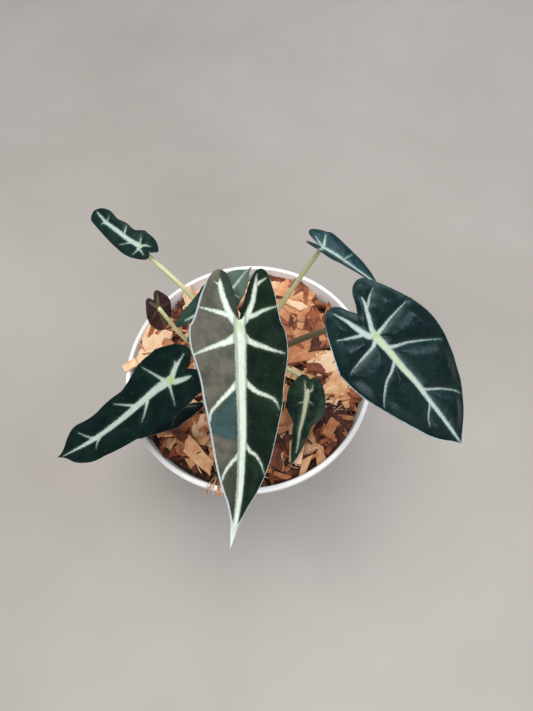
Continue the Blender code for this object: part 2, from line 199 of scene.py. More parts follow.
def evenly(path, count):
    """The same path as count points at even steps along it."""
    steps = np.r_[0, np.cumsum(np.linalg.norm(np.diff(path, axis=0), axis=1))]
    wanted = np.linspace(0, steps[-1], count)
    return np.stack([np.interp(wanted, steps, path[:, k]) for k in range(path.shape[1])], 1)


def around(radius, angle, height):
    """The point this far from the pot's axis, at an angle in radians and a height."""
    return radius * math.cos(angle), radius * math.sin(angle), height


def path_length(path):
    return np.linalg.norm(np.diff(path, axis=0), axis=1).sum()


def grid_faces(rows, columns, start=0):
    """The quads of a grid of points, row after row."""
    quads = []
    for r in range(rows - 1):
        for a in range(start + r * columns, start + (r + 1) * columns - 1):
            quads.append((a, a + 1, a + columns + 1, a + columns))
    return quads


def open_edges(faces):
    """The edges that only one face has, in that face's direction."""
    seen = {}
    for face in faces:
        for a, b in zip(face, face[1:] + face[:1]):
            seen.setdefault((min(a, b), max(a, b)), []).append((a, b))
    return [edges[0] for edges in seen.values() if len(edges) == 1]


def bridge(bm, rings):
    """Faces between neighbouring rings. A ring may be one point many times over."""
    for low, high in zip(rings, rings[1:]):
        for k in range(len(low)):
            n = (k + 1) % len(low)
            bm.faces.new(list(dict.fromkeys((low[k], low[n], high[n], high[k]))))
    bmesh.ops.recalc_face_normals(bm, faces=bm.faces)


# ------------------------------------------------------------------ material helpers

class Paint:
    """A piece's node material. Its methods add one node and give that node's output."""

    def __init__(self, name):
        self.material = bpy.data.materials.new(name)
        self.material.use_nodes = True
        self.tree = self.material.node_tree
        self.shader = self.tree.nodes["Principled BSDF"]

    def put(self, socket, value):
        """A number, a vector, a colour or another node's output into a socket."""
        if isinstance(value, bpy.types.NodeSocket):
            self.tree.links.new(value, socket)
        elif socket.type == "RGBA":
            socket.default_value = (*value, 1)
        else:
            socket.default_value = value

    def surface(self, name, value):
        self.put(self.shader.inputs[name], value)

    def node(self, kind, output, inputs, **settings):
        made = self.tree.nodes.new("ShaderNode" + kind)
        for name, value in settings.items():
            setattr(made, name, value)
        for name, value in inputs.items():
            self.put(made.inputs[name], value)
        return made.outputs[output]

    def attribute(self, name, output="Fac"):
        return self.node("Attribute", output, {}, attribute_name=name)

    def point(self, scale, source=None):
        """A point on the object times a scale, which may be a vector to stretch it."""
        if source is None:
            source = self.node("TexCoord", "Object", {})
        factor = scale if isinstance(scale, tuple) else (scale,) * 3
        return self.node("VectorMath", 0, {0: source, 1: factor}, operation="MULTIPLY")

    def noise(self, point, scale, detail=3, roughness=0.5, distortion=0.0):
        return self.node("TexNoise", "Fac", {"Vector": point, "Scale": scale, "Detail": detail,
                                             "Roughness": roughness, "Distortion": distortion})

    def cells(self, point, scale):
        return self.node("TexVoronoi", "Distance", {"Vector": point, "Scale": scale})

    def math(self, operation, *values, clamp=False):
        return self.node("Math", 0, dict(enumerate(values)), operation=operation,
                         use_clamp=clamp)

    def span(self, value, low, high, to_low=0.0, to_high=1.0):
        """The value moved from one range to another, eased at both ends."""
        inputs = {"Value": value, "From Min": low, "From Max": high, "To Min": to_low,
                  "To Max": to_high}
        return self.node("MapRange", "Result", inputs, interpolation_type="SMOOTHSTEP")

    def mix(self, share, a, b, blend="MIX"):
        return self.node("Mix", "Result", {"Factor": share, "A": a, "B": b}, data_type="RGBA",
                         blend_type=blend)

    def ramp(self, value, stops):
        ramp = self.node("ValToRGB", "Color", {"Fac": value})
        elements = ramp.node.color_ramp.elements
        while len(elements) < len(stops):
            elements.new(0.5)
        for element, (place, colour) in zip(elements, stops):
            element.position = place
            element.color = (*colour, 1)
        return ramp

    def bump(self, height, strength, distance):
        normal = self.node("Bump", "Normal", {"Height": height, "Strength": strength,
                                              "Distance": distance})
        self.surface("Normal", normal)


# ------------------------------------------------------------------ leaf tables

# Half blade outlines, from the tip round the end of a lobe to the bottom of the notch between
# the lobes. A point is (percent of the length in front of the stalk, or of the lobe's length
# behind it when negative; percent of the half width). A form is a left and a right outline.
ARROW_EDGE = ((100, 0), (94, 5), (88, 10), (80, 23), (72, 40), (60, 58), (48, 69), (35, 81), (25, 87),
              (12, 99), (4, 100), (-5, 92), (-25, 85), (-52, 77), (-82, 64), (-96, 53), (-100, 42),
              (-94, 29), (-74, 18), (-45, 8), (-13, 0))
HEART_EDGE = ((100, 0), (93, 14), (85, 33), (76, 50), (66, 63), (47, 83), (28, 97), (12, 100),
              (-10, 92), (-50, 75), (-88, 55), (-98, 45), (-100, 35), (-96, 24), (-86, 15), (-70, 8),
              (-56, 0))
STRAP_LEFT = ((100, 0), (96.5, 7), (92, 20), (85, 48), (77, 66), (69, 76), (61, 78), (52, 82), (36, 86),
              (22, 92), (6, 100), (-28, 93), (-68, 78), (-93, 58), (-100, 42), (-94, 27), (-80, 12),
              (-62, 0))
STRAP_RIGHT = ((100, 0), (96.5, 6), (93, 20), (89, 42), (84, 62), (79, 69), (70, 66), (60, 68),
               (51, 76), (43, 77), (36, 76), (30, 84), (22, 99), (13.5, 108), (3, 105), (-28, 96),
               (-68, 79), (-93, 58), (-100, 42), (-94, 27), (-80, 12), (-62, 0))
WAVY_LEFT = ((100, 0), (99, 25), (95, 42), (85, 52), (72, 63), (58, 75), (40, 88), (22, 98), (6, 105),
             (-30, 100), (-70, 82), (-93, 60), (-100, 42), (-94, 27), (-84, 12), (-72, 0))
WAVY_RIGHT = ((100, 0), (99, 25), (95, 48), (89, 70), (81, 83), (73, 86), (65, 78), (57, 70), (49, 76),
              (41, 80), (32, 74.5), (25, 75), (19, 94), (13, 111), (5, 109), (-20, 106), (-52, 92),
              (-88, 62), (-100, 42), (-94, 27), (-84, 12), (-72, 0))
DART_EDGE = ((100, 0), (93, 10), (85, 19), (72, 30), (62, 37), (53, 44), (45, 47), (39, 58), (34, 77),
             (27, 93), (20, 99), (10, 100), (0, 94), (-30, 82), (-65, 66), (-92, 48), (-100, 32),
             (-95, 15), (-80, 0))
ARROW = (ARROW_EDGE, ARROW_EDGE)
HEART = (HEART_EDGE, HEART_EDGE)
STRAP = (STRAP_LEFT, STRAP_RIGHT)
WAVY = (WAVY_LEFT, WAVY_RIGHT)
DART = (DART_EDGE, DART_EDGE)
LOBE_VEIN = ((0, 0), (-35, 16), (-78, 34))

# Veins, as (forward percent, sideways percent, width in mm) from the stalk end outwards.
SHORT_VEINS = (
    ((0, 0, 2.8), (15, 0, 2.6), (45, 0, 2.2), (75, 0, 1.6), (94, 0, 0.5)),
    ((0, 0, 1.9), (-40, 20, 1.6), (-75, 36, 0.6)),
    ((0, 0, 1.9), (-40, -20, 1.6), (-75, -36, 0.6)),
    ((3, 5, 1.4), (10, 45, 0.8), (14, 75, 0.3)),
    ((3, -5, 1.4), (10, -45, 0.8), (14, -75, 0.3)),
    ((34, 3, 1.2), (40, 35, 0.6), (44, 60, 0.2)),
    ((34, -3, 1.2), (40, -35, 0.6), (44, -60, 0.2)),
)
FRONT_VEINS = (
    ((-2, 2, 5), (6, 0, 5.8), (13, -3, 5.4), (24, -6, 5.3), (33, -7, 4.9), (47, -5, 4.5), (60, -3, 3.9),
     (74, 0, 3.4), (83, 0.5, 2.7), (90, 0.5, 2.4), (100, -1, 2)),
    ((-2, 0, 3.8), (-12, -12, 3.2), (-37, -27, 2.6), (-60, -36.5, 2.4), (-74, -40, 2), (-82, -41, 0.5)),
    ((-72, -39, 1.3), (-75, -45, 0.8), (-78, -51, 0.3)),
    ((-2, 0, 3.8), (-12, 14, 3), (-40, 27, 2.6), (-60, 31, 2.3), (-73, 33, 1.8), (-90, 34.5, 0.3)),
    ((-70, 33, 1.6), (-77, 43, 1.2), (-83, 56, 0.2)),
    ((-19, -22, 2.4), (-23, -36, 2), (-27, -53, 1.5), (-32, -80, 0.3)),
    ((-17, 24, 2.4), (-22, 40, 2), (-27, 53, 1.5), (-34, 84, 0.3)),
    ((4.5, -8, 3.6), (7, -25, 2.9), (9.2, -51, 2), (11.5, -75, 1.3), (14, -97, 0.5)),
    ((4.5, 8, 3.6), (7, 22, 2.8), (9.5, 53, 1.9), (12, 92, 0.5)),
    ((25, -12, 2.8), (30, -32, 2), (36, -56, 1.4), (40, -68, 1.1), (43.5, -68, 0.4)),
    ((25, 2, 2.8), (29, 27, 2), (31, 55, 1.5), (32.5, 66, 1.1), (36, 75, 0.3)),
    ((55.5, -5, 2.4), (59, -14, 1.8), (62, -25, 1.5), (66.7, -36, 1.1), (70.5, -38.5, 0.3)),
    ((53, 3, 2.4), (55.5, 14, 1.7), (57, 27, 1.4), (60, 39, 1), (64.5, 48.5, 0.3)),
)
RIGHT_VEINS = (
    ((-2, 0, 3.4), (6, -3, 3.8), (13, -5, 3.5), (27, -9.5, 3.2), (41, -9.5, 2.8), (57.5, -11, 2.3),
     (74, -8, 2), (86, -4.5, 1.8), (98.5, 0, 0.7)),
    ((-3, 0, 3), (-15, 2, 2.6), (-27, 8, 2.3), (-45, 16, 2), (-59.5, 22.5, 1.4), (-72, 25, 0.3)),
    ((-48, 17, 1.4), (-54, 27, 1.2), (-61, 36, 0.9), (-68.5, 53, 0.2)),
    ((-3, -2, 3.2), (-12, -11, 3), (-37, -18, 2.4), (-63, -24, 1.5), (-87, -32, 0.3)),
    ((-20, -17, 1.8), (-25, -25.5, 1.5), (-36.5, -42, 1), (-49, -58, 0.2)),
    ((0, 5, 2.4), (-1, 20, 1.7), (-3, 45, 1.1), (-2, 84, 0.3)),
    ((11, -1, 2.2), (14, 10, 1.6), (18, 29, 1.1), (24, 50, 0.8), (34, 82, 0.2)),
    ((47, -10, 1.6), (51, 0, 1.2), (57, 18.5, 0.9), (65.5, 39.5, 0.6), (72, 50, 0.2)),
    ((2, -7, 2.4), (3.5, -20, 1.7), (3.6, -47, 1.2), (4, -79, 0.3)),
    ((20, -10, 1.8), (23.5, -30, 1.4), (25.4, -48, 1.2), (30.5, -70, 0.8), (36, -85, 0.2)),
    ((58, -12, 1.4), (61, -20, 1.1), (64.5, -31.5, 0.8), (70, -40, 0.2)),
)
LEFT_VEINS = (
    ((-2, 0, 4), (6, -5, 4.4), (13, -8, 4), (28, -6, 3.6), (42, -1, 3.3), (55.6, 3.5, 3),
     (69, 6.5, 2.7), (80, 6, 1.7), (95, 5, 0.3)),
    ((0, 0, 3.2), (-8, -7, 3), (-33, -24.5, 2.6), (-45, -29, 1.9), (-55, -33, 1.1), (-76, -41, 0.2)),
    ((-30, -26, 1.4), (-35, -34, 0.9), (-40, -42, 0.2)),
    ((0, 0, 3.2), (-9, 12, 3), (-35, 20.5, 2.4), (-52, 24, 1.8), (-64, 26, 0.4)),
    ((4.5, -12, 2.4), (6, -25, 1.6), (8, -42, 1), (11.5, -69, 0.6), (14.5, -92, 0.2)),
    ((2.5, 8, 2.4), (2.7, 20, 1.5), (3, 36, 1), (4, 72, 0.2)),
    ((30, -6, 2.6), (33, -17, 1.6), (35.3, -26, 1), (45, -58, 0.2)),
    ((21, 3, 2.2), (23.5, 19, 1.4), (25.7, 31, 1), (29.5, 50, 0.2)),
    ((66, 4, 2), (69, -2, 1.3), (71.5, -11, 0.8), (78.5, -42, 0.2)),
    ((62, 10, 1.8), (65, 22, 1.1), (66, 30, 0.7), (67, 40, 0.2)),
)
BACK_LEFT_VEINS = (
    ((-3, 0, 2.9), (5, -2, 3.1), (12, 1, 2.7), (27, 2, 2.5), (46, -3, 2.4), (62, -5, 2.2), (72, -8, 2),
     (83, -20, 1.4), (92, -30, 0.8)),
    ((0, -3, 1.6), (-10, -17, 1.5), (-25, -33, 1.2), (-45, -41, 0.3)),
    ((0, 3, 2), (-6, 16, 1.8), (-12, 31, 1.1), (-14, 54, 0.7), (-17, 77, 0.2)),
    ((-8, 16, 1.6), (-20, 20, 1.2), (-37, 26, 0.8), (-66, 38, 0.2)),
    ((3, -12, 1.4), (5, -28, 0.9), (8, -49, 0.5), (10, -66, 0.2)),
    ((31, 0, 1.6), (33.5, -12, 1.1), (36.5, -41, 0.8), (39, -66, 0.2)),
    ((69, -8, 1.4), (70, -20, 0.9), (70.5, -37, 0.6), (71, -55, 0.2)),
    ((14, 10, 1.5), (18, 28, 0.9), (22, 48, 0.5), (26.5, 67, 0.2)),
    ((70, 0, 1.2), (74.5, 9, 0.7), (76.5, 23, 0.2)),
)
BACK_RIGHT_VEINS = (
    ((-2, 0, 2.2), (8, 3, 2.1), (20, 6, 2), (35, 4, 1.8), (50, 0, 1.8), (65, 0, 2), (85, 0, 1.5),
     (96, 0, 0.6)),
    ((0, 8, 1.8), (-1, 20, 1.7), (-4, 40, 1.5), (-11, 65, 0.8)),
    ((0, 0, 1.6), (-12, 7, 1.4), (-33, 19, 1.1), (-54, 32, 0.4)),
    ((0, -5, 1.6), (-14, -38, 1.3), (-40, -78, 0.6)),
    ((30, 5, 1.1), (33, 30, 0.7), (38, 60, 0.2)),
    ((30, -3, 1.1), (33, -30, 0.7), (38, -60, 0.2)),
)
YOUNG_VEINS = (
    ((-4, 1, 2.6), (6, 1, 2.8), (15, 0.5, 2.5), (24, -1, 2.2), (34, -2, 1.9), (43, -4.5, 1.7),
     (52, -5.5, 1.4), (62, -1, 1), (71, 3, 0.7), (80, 5, 0.3)),
    ((0, -6, 1.2), (-10, -11, 1), (-26, -15, 0.8), (-62, -21, 0.3)),
    ((0, 7, 1.2), (-8, 17, 1), (-20, 22.5, 0.8), (-47, 21.5, 0.3)),
    ((12, -4, 1.2), (14.5, -13, 0.7), (16.5, -33, 0.2)),
    ((10, 6, 1.2), (12, 18, 0.7), (13.5, 34, 0.2)),
)
BEHIND_VEINS = (
    ((-2, 0, 2.4), (20, -4, 2.2), (40, -3, 2), (60, 2, 1.8), (82, 7, 1.2), (97, 2, 0.4)),
    *SHORT_VEINS[1:],
)


@dataclass
class Look:
    """A leaf's colours, as linear RGB, and its relief."""
    dark: tuple = (0.0014, 0.0080, 0.0072)
    green: tuple = (0.0034, 0.0200, 0.0120)
    vein: tuple = (0.46, 0.58, 0.52)
    rim: tuple = (0.42, 0.52, 0.50)
    rim_left: float = 0.0          # mm, the pale line along the left and the right margin
    rim_right: float = 0.0
    pale_tip: float = 0.0          # mm, how far from its edge the tip is pale
    painted_front_sheen: float = 0.0             # painted sheen: how much grey-green reflection is painted over the front half
    strip: float = 0.0             # how far the midrib's pale colour keeps to one strip, a little off centre: partly its own pale centre, partly a painted highlight
    painted_sheen: float = 0.0            # painted sheen: how strongly brown and blue reflections are painted on the right half between its veins
    quilt: float = 0.3             # mm, how high the blade bulges between its veins
    roughness: float = 0.34
    shine: float = 0.30            # how strongly it reflects, and in which tint
    sheen: tuple = (0.80, 0.95, 1.0)
    heel: float = 0.75             # how yellow-green the veins' meeting point is
    centre: float = 0.0            # and the middle of the midrib's first half
    stalk: float = 0.0             # how brown the stalk is


@dataclass
class Leaf:
    """One leaf: where its blade meets its stalk, how the blade lies and how big it is."""
    name: str
    form: tuple            # the left and the right half's outline
    veins: tuple
    rise: tuple            # mm, from the crown's foot to the blade's stalk
    heading: float         # degrees, the way the tip points, from +X towards +Y
    dip: float             # degrees, how far the tip points down
    roll: float            # degrees, positive lifts the left side
    length: float          # mm, stalk to tip
    half_width: float      # mm
    lobe: float            # mm, stalk to the end of a lobe
    stalk: float           # mm, diameter
    look: Look
    bend: float = 0        # degrees, how much further down the tip points than the stalk end
    twist: float = 0       # degrees, extra roll at the tip
    bow: float = 0         # mm, sideways bow of the midrib, positive to the left
    fold: float = 0        # degrees, how far each side stands up from flat
    lean: float = 0        # degrees from upright, how the stalk sets off towards its blade
    neck: float = 0        # degrees, how much the stalk's top points towards the tip
    out: float = 0.40      # reach of the stalk's lower and upper curve handles, as shares
    over: float = 0.30     # of its span


LEAVES = (
    Leaf("behind", ARROW, BEHIND_VEINS, (-10, 5.5, 60), 49, 14, 42, 44, 12, 24, 2.6,
         bend=16, lean=5, neck=20, over=0.25,
         look=Look(dark=(0.008, 0.024, 0.016), green=(0.018, 0.044, 0.028), heel=0.2,
                   painted_front_sheen=0.9, shine=0.18)),
    Leaf("back_left", WAVY, BACK_LEFT_VEINS, (-45, 37.5, 78), 134, 5, 4, 40.5, 8.4, 10.7, 2.6,
         twist=-40, lean=10, neck=50, out=0.65, over=0.10, look=Look(heel=0.3)),
    Leaf("upright", HEART, SHORT_VEINS, (-38.7, 6, 66), 141, 92, 6, 32, 8.4, 11, 2.4,
         bend=-19, lean=45, neck=-60, out=0.50, over=0.35, look=Look()),
    Leaf("left", STRAP, LEFT_VEINS, (-30.4, -41.7, 76), 197.5, 27, -7, 78.5, 16.5, 16.5, 3.0,
         bend=-2, twist=16, bow=2.6, fold=5, lean=25, neck=30,
         look=Look(dark=(0.0010, 0.0052, 0.0048), green=(0.0022, 0.0135, 0.0090),
                   vein=(0.45, 0.54, 0.47), quilt=0.5, shine=0.20)),
    Leaf("under_left", ARROW, SHORT_VEINS, (-32.5, -42, 40), 188, 28, 13, 51, 12, 14.5, 2.6,
         bend=10, lean=35, neck=40,
         look=Look(dark=(0.0010, 0.0045, 0.0045), green=(0.0020, 0.0100, 0.0075),
                   vein=(0.16, 0.22, 0.20), rim=(0.12, 0.17, 0.15), rim_left=0.25,
                   rim_right=0.15, heel=0.0, shine=0.18)),
    Leaf("front", ARROW, FRONT_VEINS, (5.7, -31.8, 103), -99.5, 23, 13, 97, 22.5, 25, 3.4,
         bow=4.8, fold=14, lean=10, neck=20,
         look=Look(dark=(0.0045, 0.0105, 0.0068), green=(0.0105, 0.0225, 0.0120),
                   vein=(0.66, 0.73, 0.63), rim=(0.39, 0.43, 0.44), rim_left=0.26,
                   rim_right=0.85, pale_tip=2.6, strip=1.0, painted_sheen=0.9, quilt=0.45,
                   shine=0.16, heel=0.5)),
    Leaf("young", DART, YOUNG_VEINS, (36, -41, 38), -112, 39, 0, 45.5, 10.8, 9, 2.2,
         bend=1, bow=1.3, lean=15, neck=20,
         look=Look(green=(0.015, 0.038, 0.017), vein=(0.62, 0.62, 0.43), rim=(0.08, 0.10, 0.06),
                   rim_left=0.2, rim_right=0.2, heel=0.0)),
    Leaf("right", HEART, RIGHT_VEINS, (66.3, -39.1, 93), -45.5, 36, 6.5, 77, 26.2, 24.6, 3.2,
         bend=7, bow=3.6, lean=37, neck=30, out=0.42, over=0.25,
         look=Look(dark=(0.0010, 0.0062, 0.0068), green=(0.0022, 0.0155, 0.0132),
                   vein=(0.44, 0.53, 0.50), rim_left=0.16, rim_right=0.40, quilt=2.2,
                   roughness=0.30, shine=0.33, sheen=(0.72, 0.90, 0.96), heel=0.6, centre=0.8,
                   stalk=1.0)),
    Leaf("back_right", ARROW, BACK_RIGHT_VEINS, (51.5, 19.5, 83), -23, 31, -13, 45, 9.1, 10.5,
         2.6, bend=8, twist=-12, fold=26, lean=33, out=0.30, over=0.10,
         look=Look(dark=(0.003, 0.020, 0.023), green=(0.009, 0.042, 0.045), heel=0.2,
                   stalk=0.25)),
)


# ------------------------------------------------------------------ leaf blades

GRID = 0.55                  # mm, the blades' mesh spacing
SPAN = 24                    # steps of a smooth outline between two table points
EDGE_STEP = 0.2              # mm, between the points that stand for a blade's outline
BLADE_THICKNESS = 0.45       # mm
RIDGE = 0.5                  # mm, how far the veins stand out below
GROOVE = 0.16                # mm, how deep the veins lie above
RIPPLE = 0.5                 # mm, waviness of the margin
GRAIN = 0.10                 # mm, fine unevenness of the blade
VEIN_SPAN = 12               # steps of a smooth vein between two table points
VEIN_STEP = 0.25             # mm, between the points that stand for a vein
BATCH = 4000                 # points measured at a time
FAR = 1e9                    # mm, further than anything


def to_mm(leaf, points):
    """Percent to millimetres."""
    points = np.array(points, float) / 100
    points[:, 0] *= np.where(points[:, 0] > 0, leaf.length, leaf.lobe)
    points[:, 1] *= leaf.half_width
    return points


def half_edges(leaf, outline):
    """One half's edge in mm, in three parts: tip to stalk level, on to the end of the lobe,
    and back to the bottom of the notch. Then the lobe's vein."""
    lobe_end = min(range(len(outline)), key=lambda k: outline[k][0])
    path = to_mm(leaf, spline(outline, SPAN))
    margin = path[:SPAN * lobe_end + 1]
    notch = path[SPAN * lobe_end:]
    split = int(np.argmax(margin[:, 0] <= 0))
    share = margin[split - 1, 0] / (margin[split - 1, 0] - margin[split, 0])
    crossing = margin[split - 1] + share * (margin[split] - margin[split - 1])
    front = np.vstack([margin[:split], crossing])
    lobe = np.vstack([crossing, margin[split:]])
    vein = to_mm(leaf, spline((*LOBE_VEIN, outline[lobe_end]), SPAN))
    return front, lobe, notch, vein


def flat_sheet(leaf):
    """The flat blade as (points in mm, faces, outline points)."""
    halves = [half_edges(leaf, outline) for outline in leaf.form]
    front_rows = int(max(path_length(half[0]) for half in halves) / GRID)
    lobe_rows = int(max(path_length(part) for half in halves for part in half[1:]) / GRID)
    outer_columns = int(leaf.half_width / GRID)
    inner_columns = max(int(0.45 * leaf.half_width / GRID), 4)
    midrib = np.stack([np.linspace(leaf.length, 0, front_rows), np.zeros(front_rows)], 1)
    points, faces, outline = [], [], []
    for side, (front, lobe, notch, vein) in zip((1, -1), halves):
        lobe_axis = evenly(vein, lobe_rows)
        axis = np.vstack([midrib, lobe_axis[1:]])
        edge = np.vstack([evenly(front, front_rows), evenly(lobe, lobe_rows)[1:]])
        notch_edge = evenly(notch[::-1], lobe_rows)
        for start, end, columns, way in ((axis, edge, outer_columns, side),
                                         (lobe_axis, notch_edge, inner_columns, -side)):
            shares = np.linspace(0, 1, columns + 1)[None, :, None]
            rows = start[:, None, :] * (1 - shares) + end[:, None, :] * shares
            rows[:, :, 1] *= side
            base = sum(len(p) for p in points)
            count = rows.shape[1]
            points.append(rows.reshape(-1, 2))
            quads = grid_faces(rows.shape[0], count, base)
            faces += quads if way > 0 else [quad[::-1] for quad in quads]
        around = np.vstack([front, lobe, notch]) * (1, side)
        outline.append(evenly(around, int(path_length(around) / EDGE_STEP)))
    points = np.vstack(points)
    # Points that coincide become one. Adding zero turns a rounded -0.0 into 0.0.
    keys = np.round(points, 3) + 0.0
    _, first, which = np.unique(keys, axis=0, return_index=True, return_inverse=True)
    which = which.ravel()
    merged = []
    for quad in faces:
        corners = list(dict.fromkeys(int(which[k]) for k in quad))
        if len(corners) > 2:
            merged.append(tuple(corners))
    return points[first], merged, np.vstack(outline)


def nearest(points, path):
    """Distance from each point to the nearest path point, and that point's index."""
    best = np.full(len(points), FAR)
    index = np.zeros(len(points), int)
    for start in range(0, len(points), BATCH):
        part = points[start:start + BATCH]
        gaps = ((part[:, None, :] - path[None, :, :]) ** 2).sum(2)
        found = gaps.argmin(1)
        index[start:start + BATCH] = found
        best[start:start + BATCH] = np.sqrt(gaps[np.arange(len(part)), found])
    return best, index


def vein_fields(leaf, points):
    """For each flat point: mm outside the nearest vein's edge (negative inside it), that
    vein's width there, and how far left of the midrib, in half widths of the midrib."""
    outside = np.full(len(points), FAR)
    width_there = np.zeros(len(points))
    left = None
    for vein in leaf.veins:
        path = spline(vein, VEIN_SPAN)
        flat = to_mm(leaf, path[:, :2])
        bowed = np.hstack([flat, path[:, 2:]])
        bowed = evenly(bowed, max(int(path_length(flat) / VEIN_STEP), 4))
        gap, index = nearest(points, bowed[:, :2])
        width = np.clip(bowed[index, 2], 0.1, None)
        if left is None:
            left = (points[:, 1] - bowed[index, 1]) / (width / 2)
        edge_gap = gap - width / 2
        closer = edge_gap < outside
        outside[closer] = edge_gap[closer]
        width_there[closer] = width[closer]
    return outside, width_there, left


def blade_surface(leaf, flat, height):
    """Flat blade points at a height above the blade, bent, twisted and folded, in metres."""
    forward = flat[:, 0]
    share = np.maximum(forward / leaf.length, -0.5)
    angle = np.radians(leaf.bend) * share
    if leaf.bend:
        curve = math.radians(leaf.bend) / leaf.length
        centre = np.stack([np.sin(curve * forward), 0 * forward,
                           np.cos(curve * forward) - 1], 1) / curve
    else:
        centre = np.stack([forward, 0 * forward, 0 * forward], 1)
    side = flat[:, 1] + np.where(forward > 0, 4 * leaf.bow * share * (1 - share), 0)
    soft_side = np.sqrt(side ** 2 + 1.0) - 1.0
    lift = math.tan(math.radians(leaf.fold)) * soft_side + height
    turn = np.radians(leaf.twist) * share
    up = np.stack([np.sin(angle), 0 * angle, np.cos(angle)], 1)
    level = np.array([0.0, 1.0, 0.0])
    across = level * np.cos(turn)[:, None] + up * np.sin(turn)[:, None]
    above = up * np.cos(turn)[:, None] - level * np.sin(turn)[:, None]
    local = centre + across * side[:, None] + above * lift[:, None]
    return local @ np.array(blade_turn(leaf)).T * MM + np.array(blade_place(leaf))


def blade_place(leaf):
    return CROWN_FOOT + Vector(leaf.rise) * MM


def blade_turn(leaf):
    return Euler((math.radians(leaf.roll), math.radians(leaf.dip),
                  math.radians(leaf.heading))).to_matrix()


def wave(flat, scale, seed):
    return np.array([noise.noise((x / scale, y / scale, seed)) for x, y in flat])


def make_blade(number, leaf, under):
    flat, faces, outline = flat_sheet(leaf)
    edge, _ = nearest(flat, outline)
    outside, width, left = vein_fields(leaf, flat)
    inset = smoothstep(0, 0.28 * leaf.half_width, edge)
    reach = 0.26 * leaf.half_width + 1.0
    dome = 1 - (1 - np.clip(outside / reach, 0, 1)) ** 2
    quilt = leaf.look.quilt * dome * inset
    groove = GROOVE * np.clip(width / 3, 0.3, 1) * (1 - smoothstep(-0.6, 0.6, outside))
    ripple = RIPPLE * (1 - smoothstep(0, 0.35 * leaf.half_width, edge)) * wave(flat, 9, number)
    height = quilt - groove + ripple + GRAIN * wave(flat, 2.2, number + 50) * inset
    body = BLADE_THICKNESS * np.sqrt(np.clip(edge / 0.8, 0, 1))
    stand = RIDGE * np.clip(width / 3.2, 0.25, 1) * (1 - smoothstep(-0.3, 1.0, outside)) * inset
    lower = height - body - stand
    below = np.full(len(flat), -1)
    rim = sorted({k for open_edge in open_edges(faces) for k in open_edge})
    below[rim] = rim
    inner = np.flatnonzero(below < 0)
    below[inner] = len(flat) + np.arange(len(inner))
    points = np.vstack([blade_surface(leaf, flat, height),
                        blade_surface(leaf, flat[inner], lower[inner])])
    all_faces = faces + [tuple(int(below[k]) for k in face[::-1]) for face in faces]
    sides = [0] * len(faces) + [1] * len(faces)
    blade = array_object("leaf_" + leaf.name, points, all_faces,
                         [blade_material(leaf), under], sides)
    both = np.r_[np.arange(len(flat)), inner]
    fields = {"vein": outside, "rib": left, "ahead": flat[:, 0],
              "heel": np.linalg.norm(flat, axis=1), **blade_zones(leaf, flat, edge)}
    for name, values in fields.items():
        add_floats(blade, name, values[both])
    add_vectors(blade, "flat", np.hstack([flat, np.full((len(flat), 1), 7.0 * number)])[both])
    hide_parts("blade_" + leaf.name)
    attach(blade, BODY)


def blade_zones(leaf, flat, edge):
    """Where the margin is pale, and where brown and blue reflections are painted on the right half."""
    look = leaf.look
    share = flat[:, 0] / leaf.length
    sideways = np.abs(flat[:, 1]) / leaf.half_width
    rim_width = np.where(flat[:, 1] > 0, look.rim_left, look.rim_right)
    rim_width = rim_width * np.where(share < 0, smoothstep(0.55, 0.78, sideways), 1.0)
    rim_width = rim_width + look.pale_tip * smoothstep(0.86, 0.95, share)
    # Painted sheen: a brown reflection is painted right of the midrib, outside the lobe's vein.
    # Past the first side vein it gives way to a painted blue reflection as far as a slanting,
    # wavy line, and the brown comes back weaker behind that.
    painted_sheen_mask = smoothstep(0.3, 1.4, -flat[:, 1]) * look.painted_sheen
    lobe_vein = 0.45 * (1 - np.exp(2.6 * np.minimum(flat[:, 0] / leaf.lobe, 0)))
    painted_sheen_mask = painted_sheen_mask * smoothstep(-0.03, 0.04, sideways - lobe_vein)
    past_vein = smoothstep(0.0, 0.03, share - 0.22 - 0.27 * sideways)
    ending = share - 0.545 + 0.10 * sideways + 0.02 * wave(flat, 7, 77)
    zone = past_vein * (1 - smoothstep(-0.02, 0.02, ending))
    fading = 1 - 0.7 * smoothstep(0.60, 0.70, share)
    return {"rim": rim_width - edge - 2 * (rim_width == 0), "painted_blue_sheen": painted_sheen_mask * zone,
            "painted_sheen": painted_sheen_mask * (1 - zone) * fading}


# Painted sheen: the brown and the blue reflection painted on the front leaf's right half.
PAINTED_SHEEN_BROWN = (0.116, 0.103, 0.079)
PAINTED_BLUE_SHEEN = (0.029, 0.066, 0.065)
# Painted sheen: a grey-green reflection painted towards the tip of the leaf behind.
PAINTED_SHEEN_GREY = (0.125, 0.180, 0.145)
DOT = (0.30, 0.34, 0.33)
HEEL = (0.34, 0.46, 0.14)
MIDRIB_CENTRE = (0.47, 0.55, 0.27)


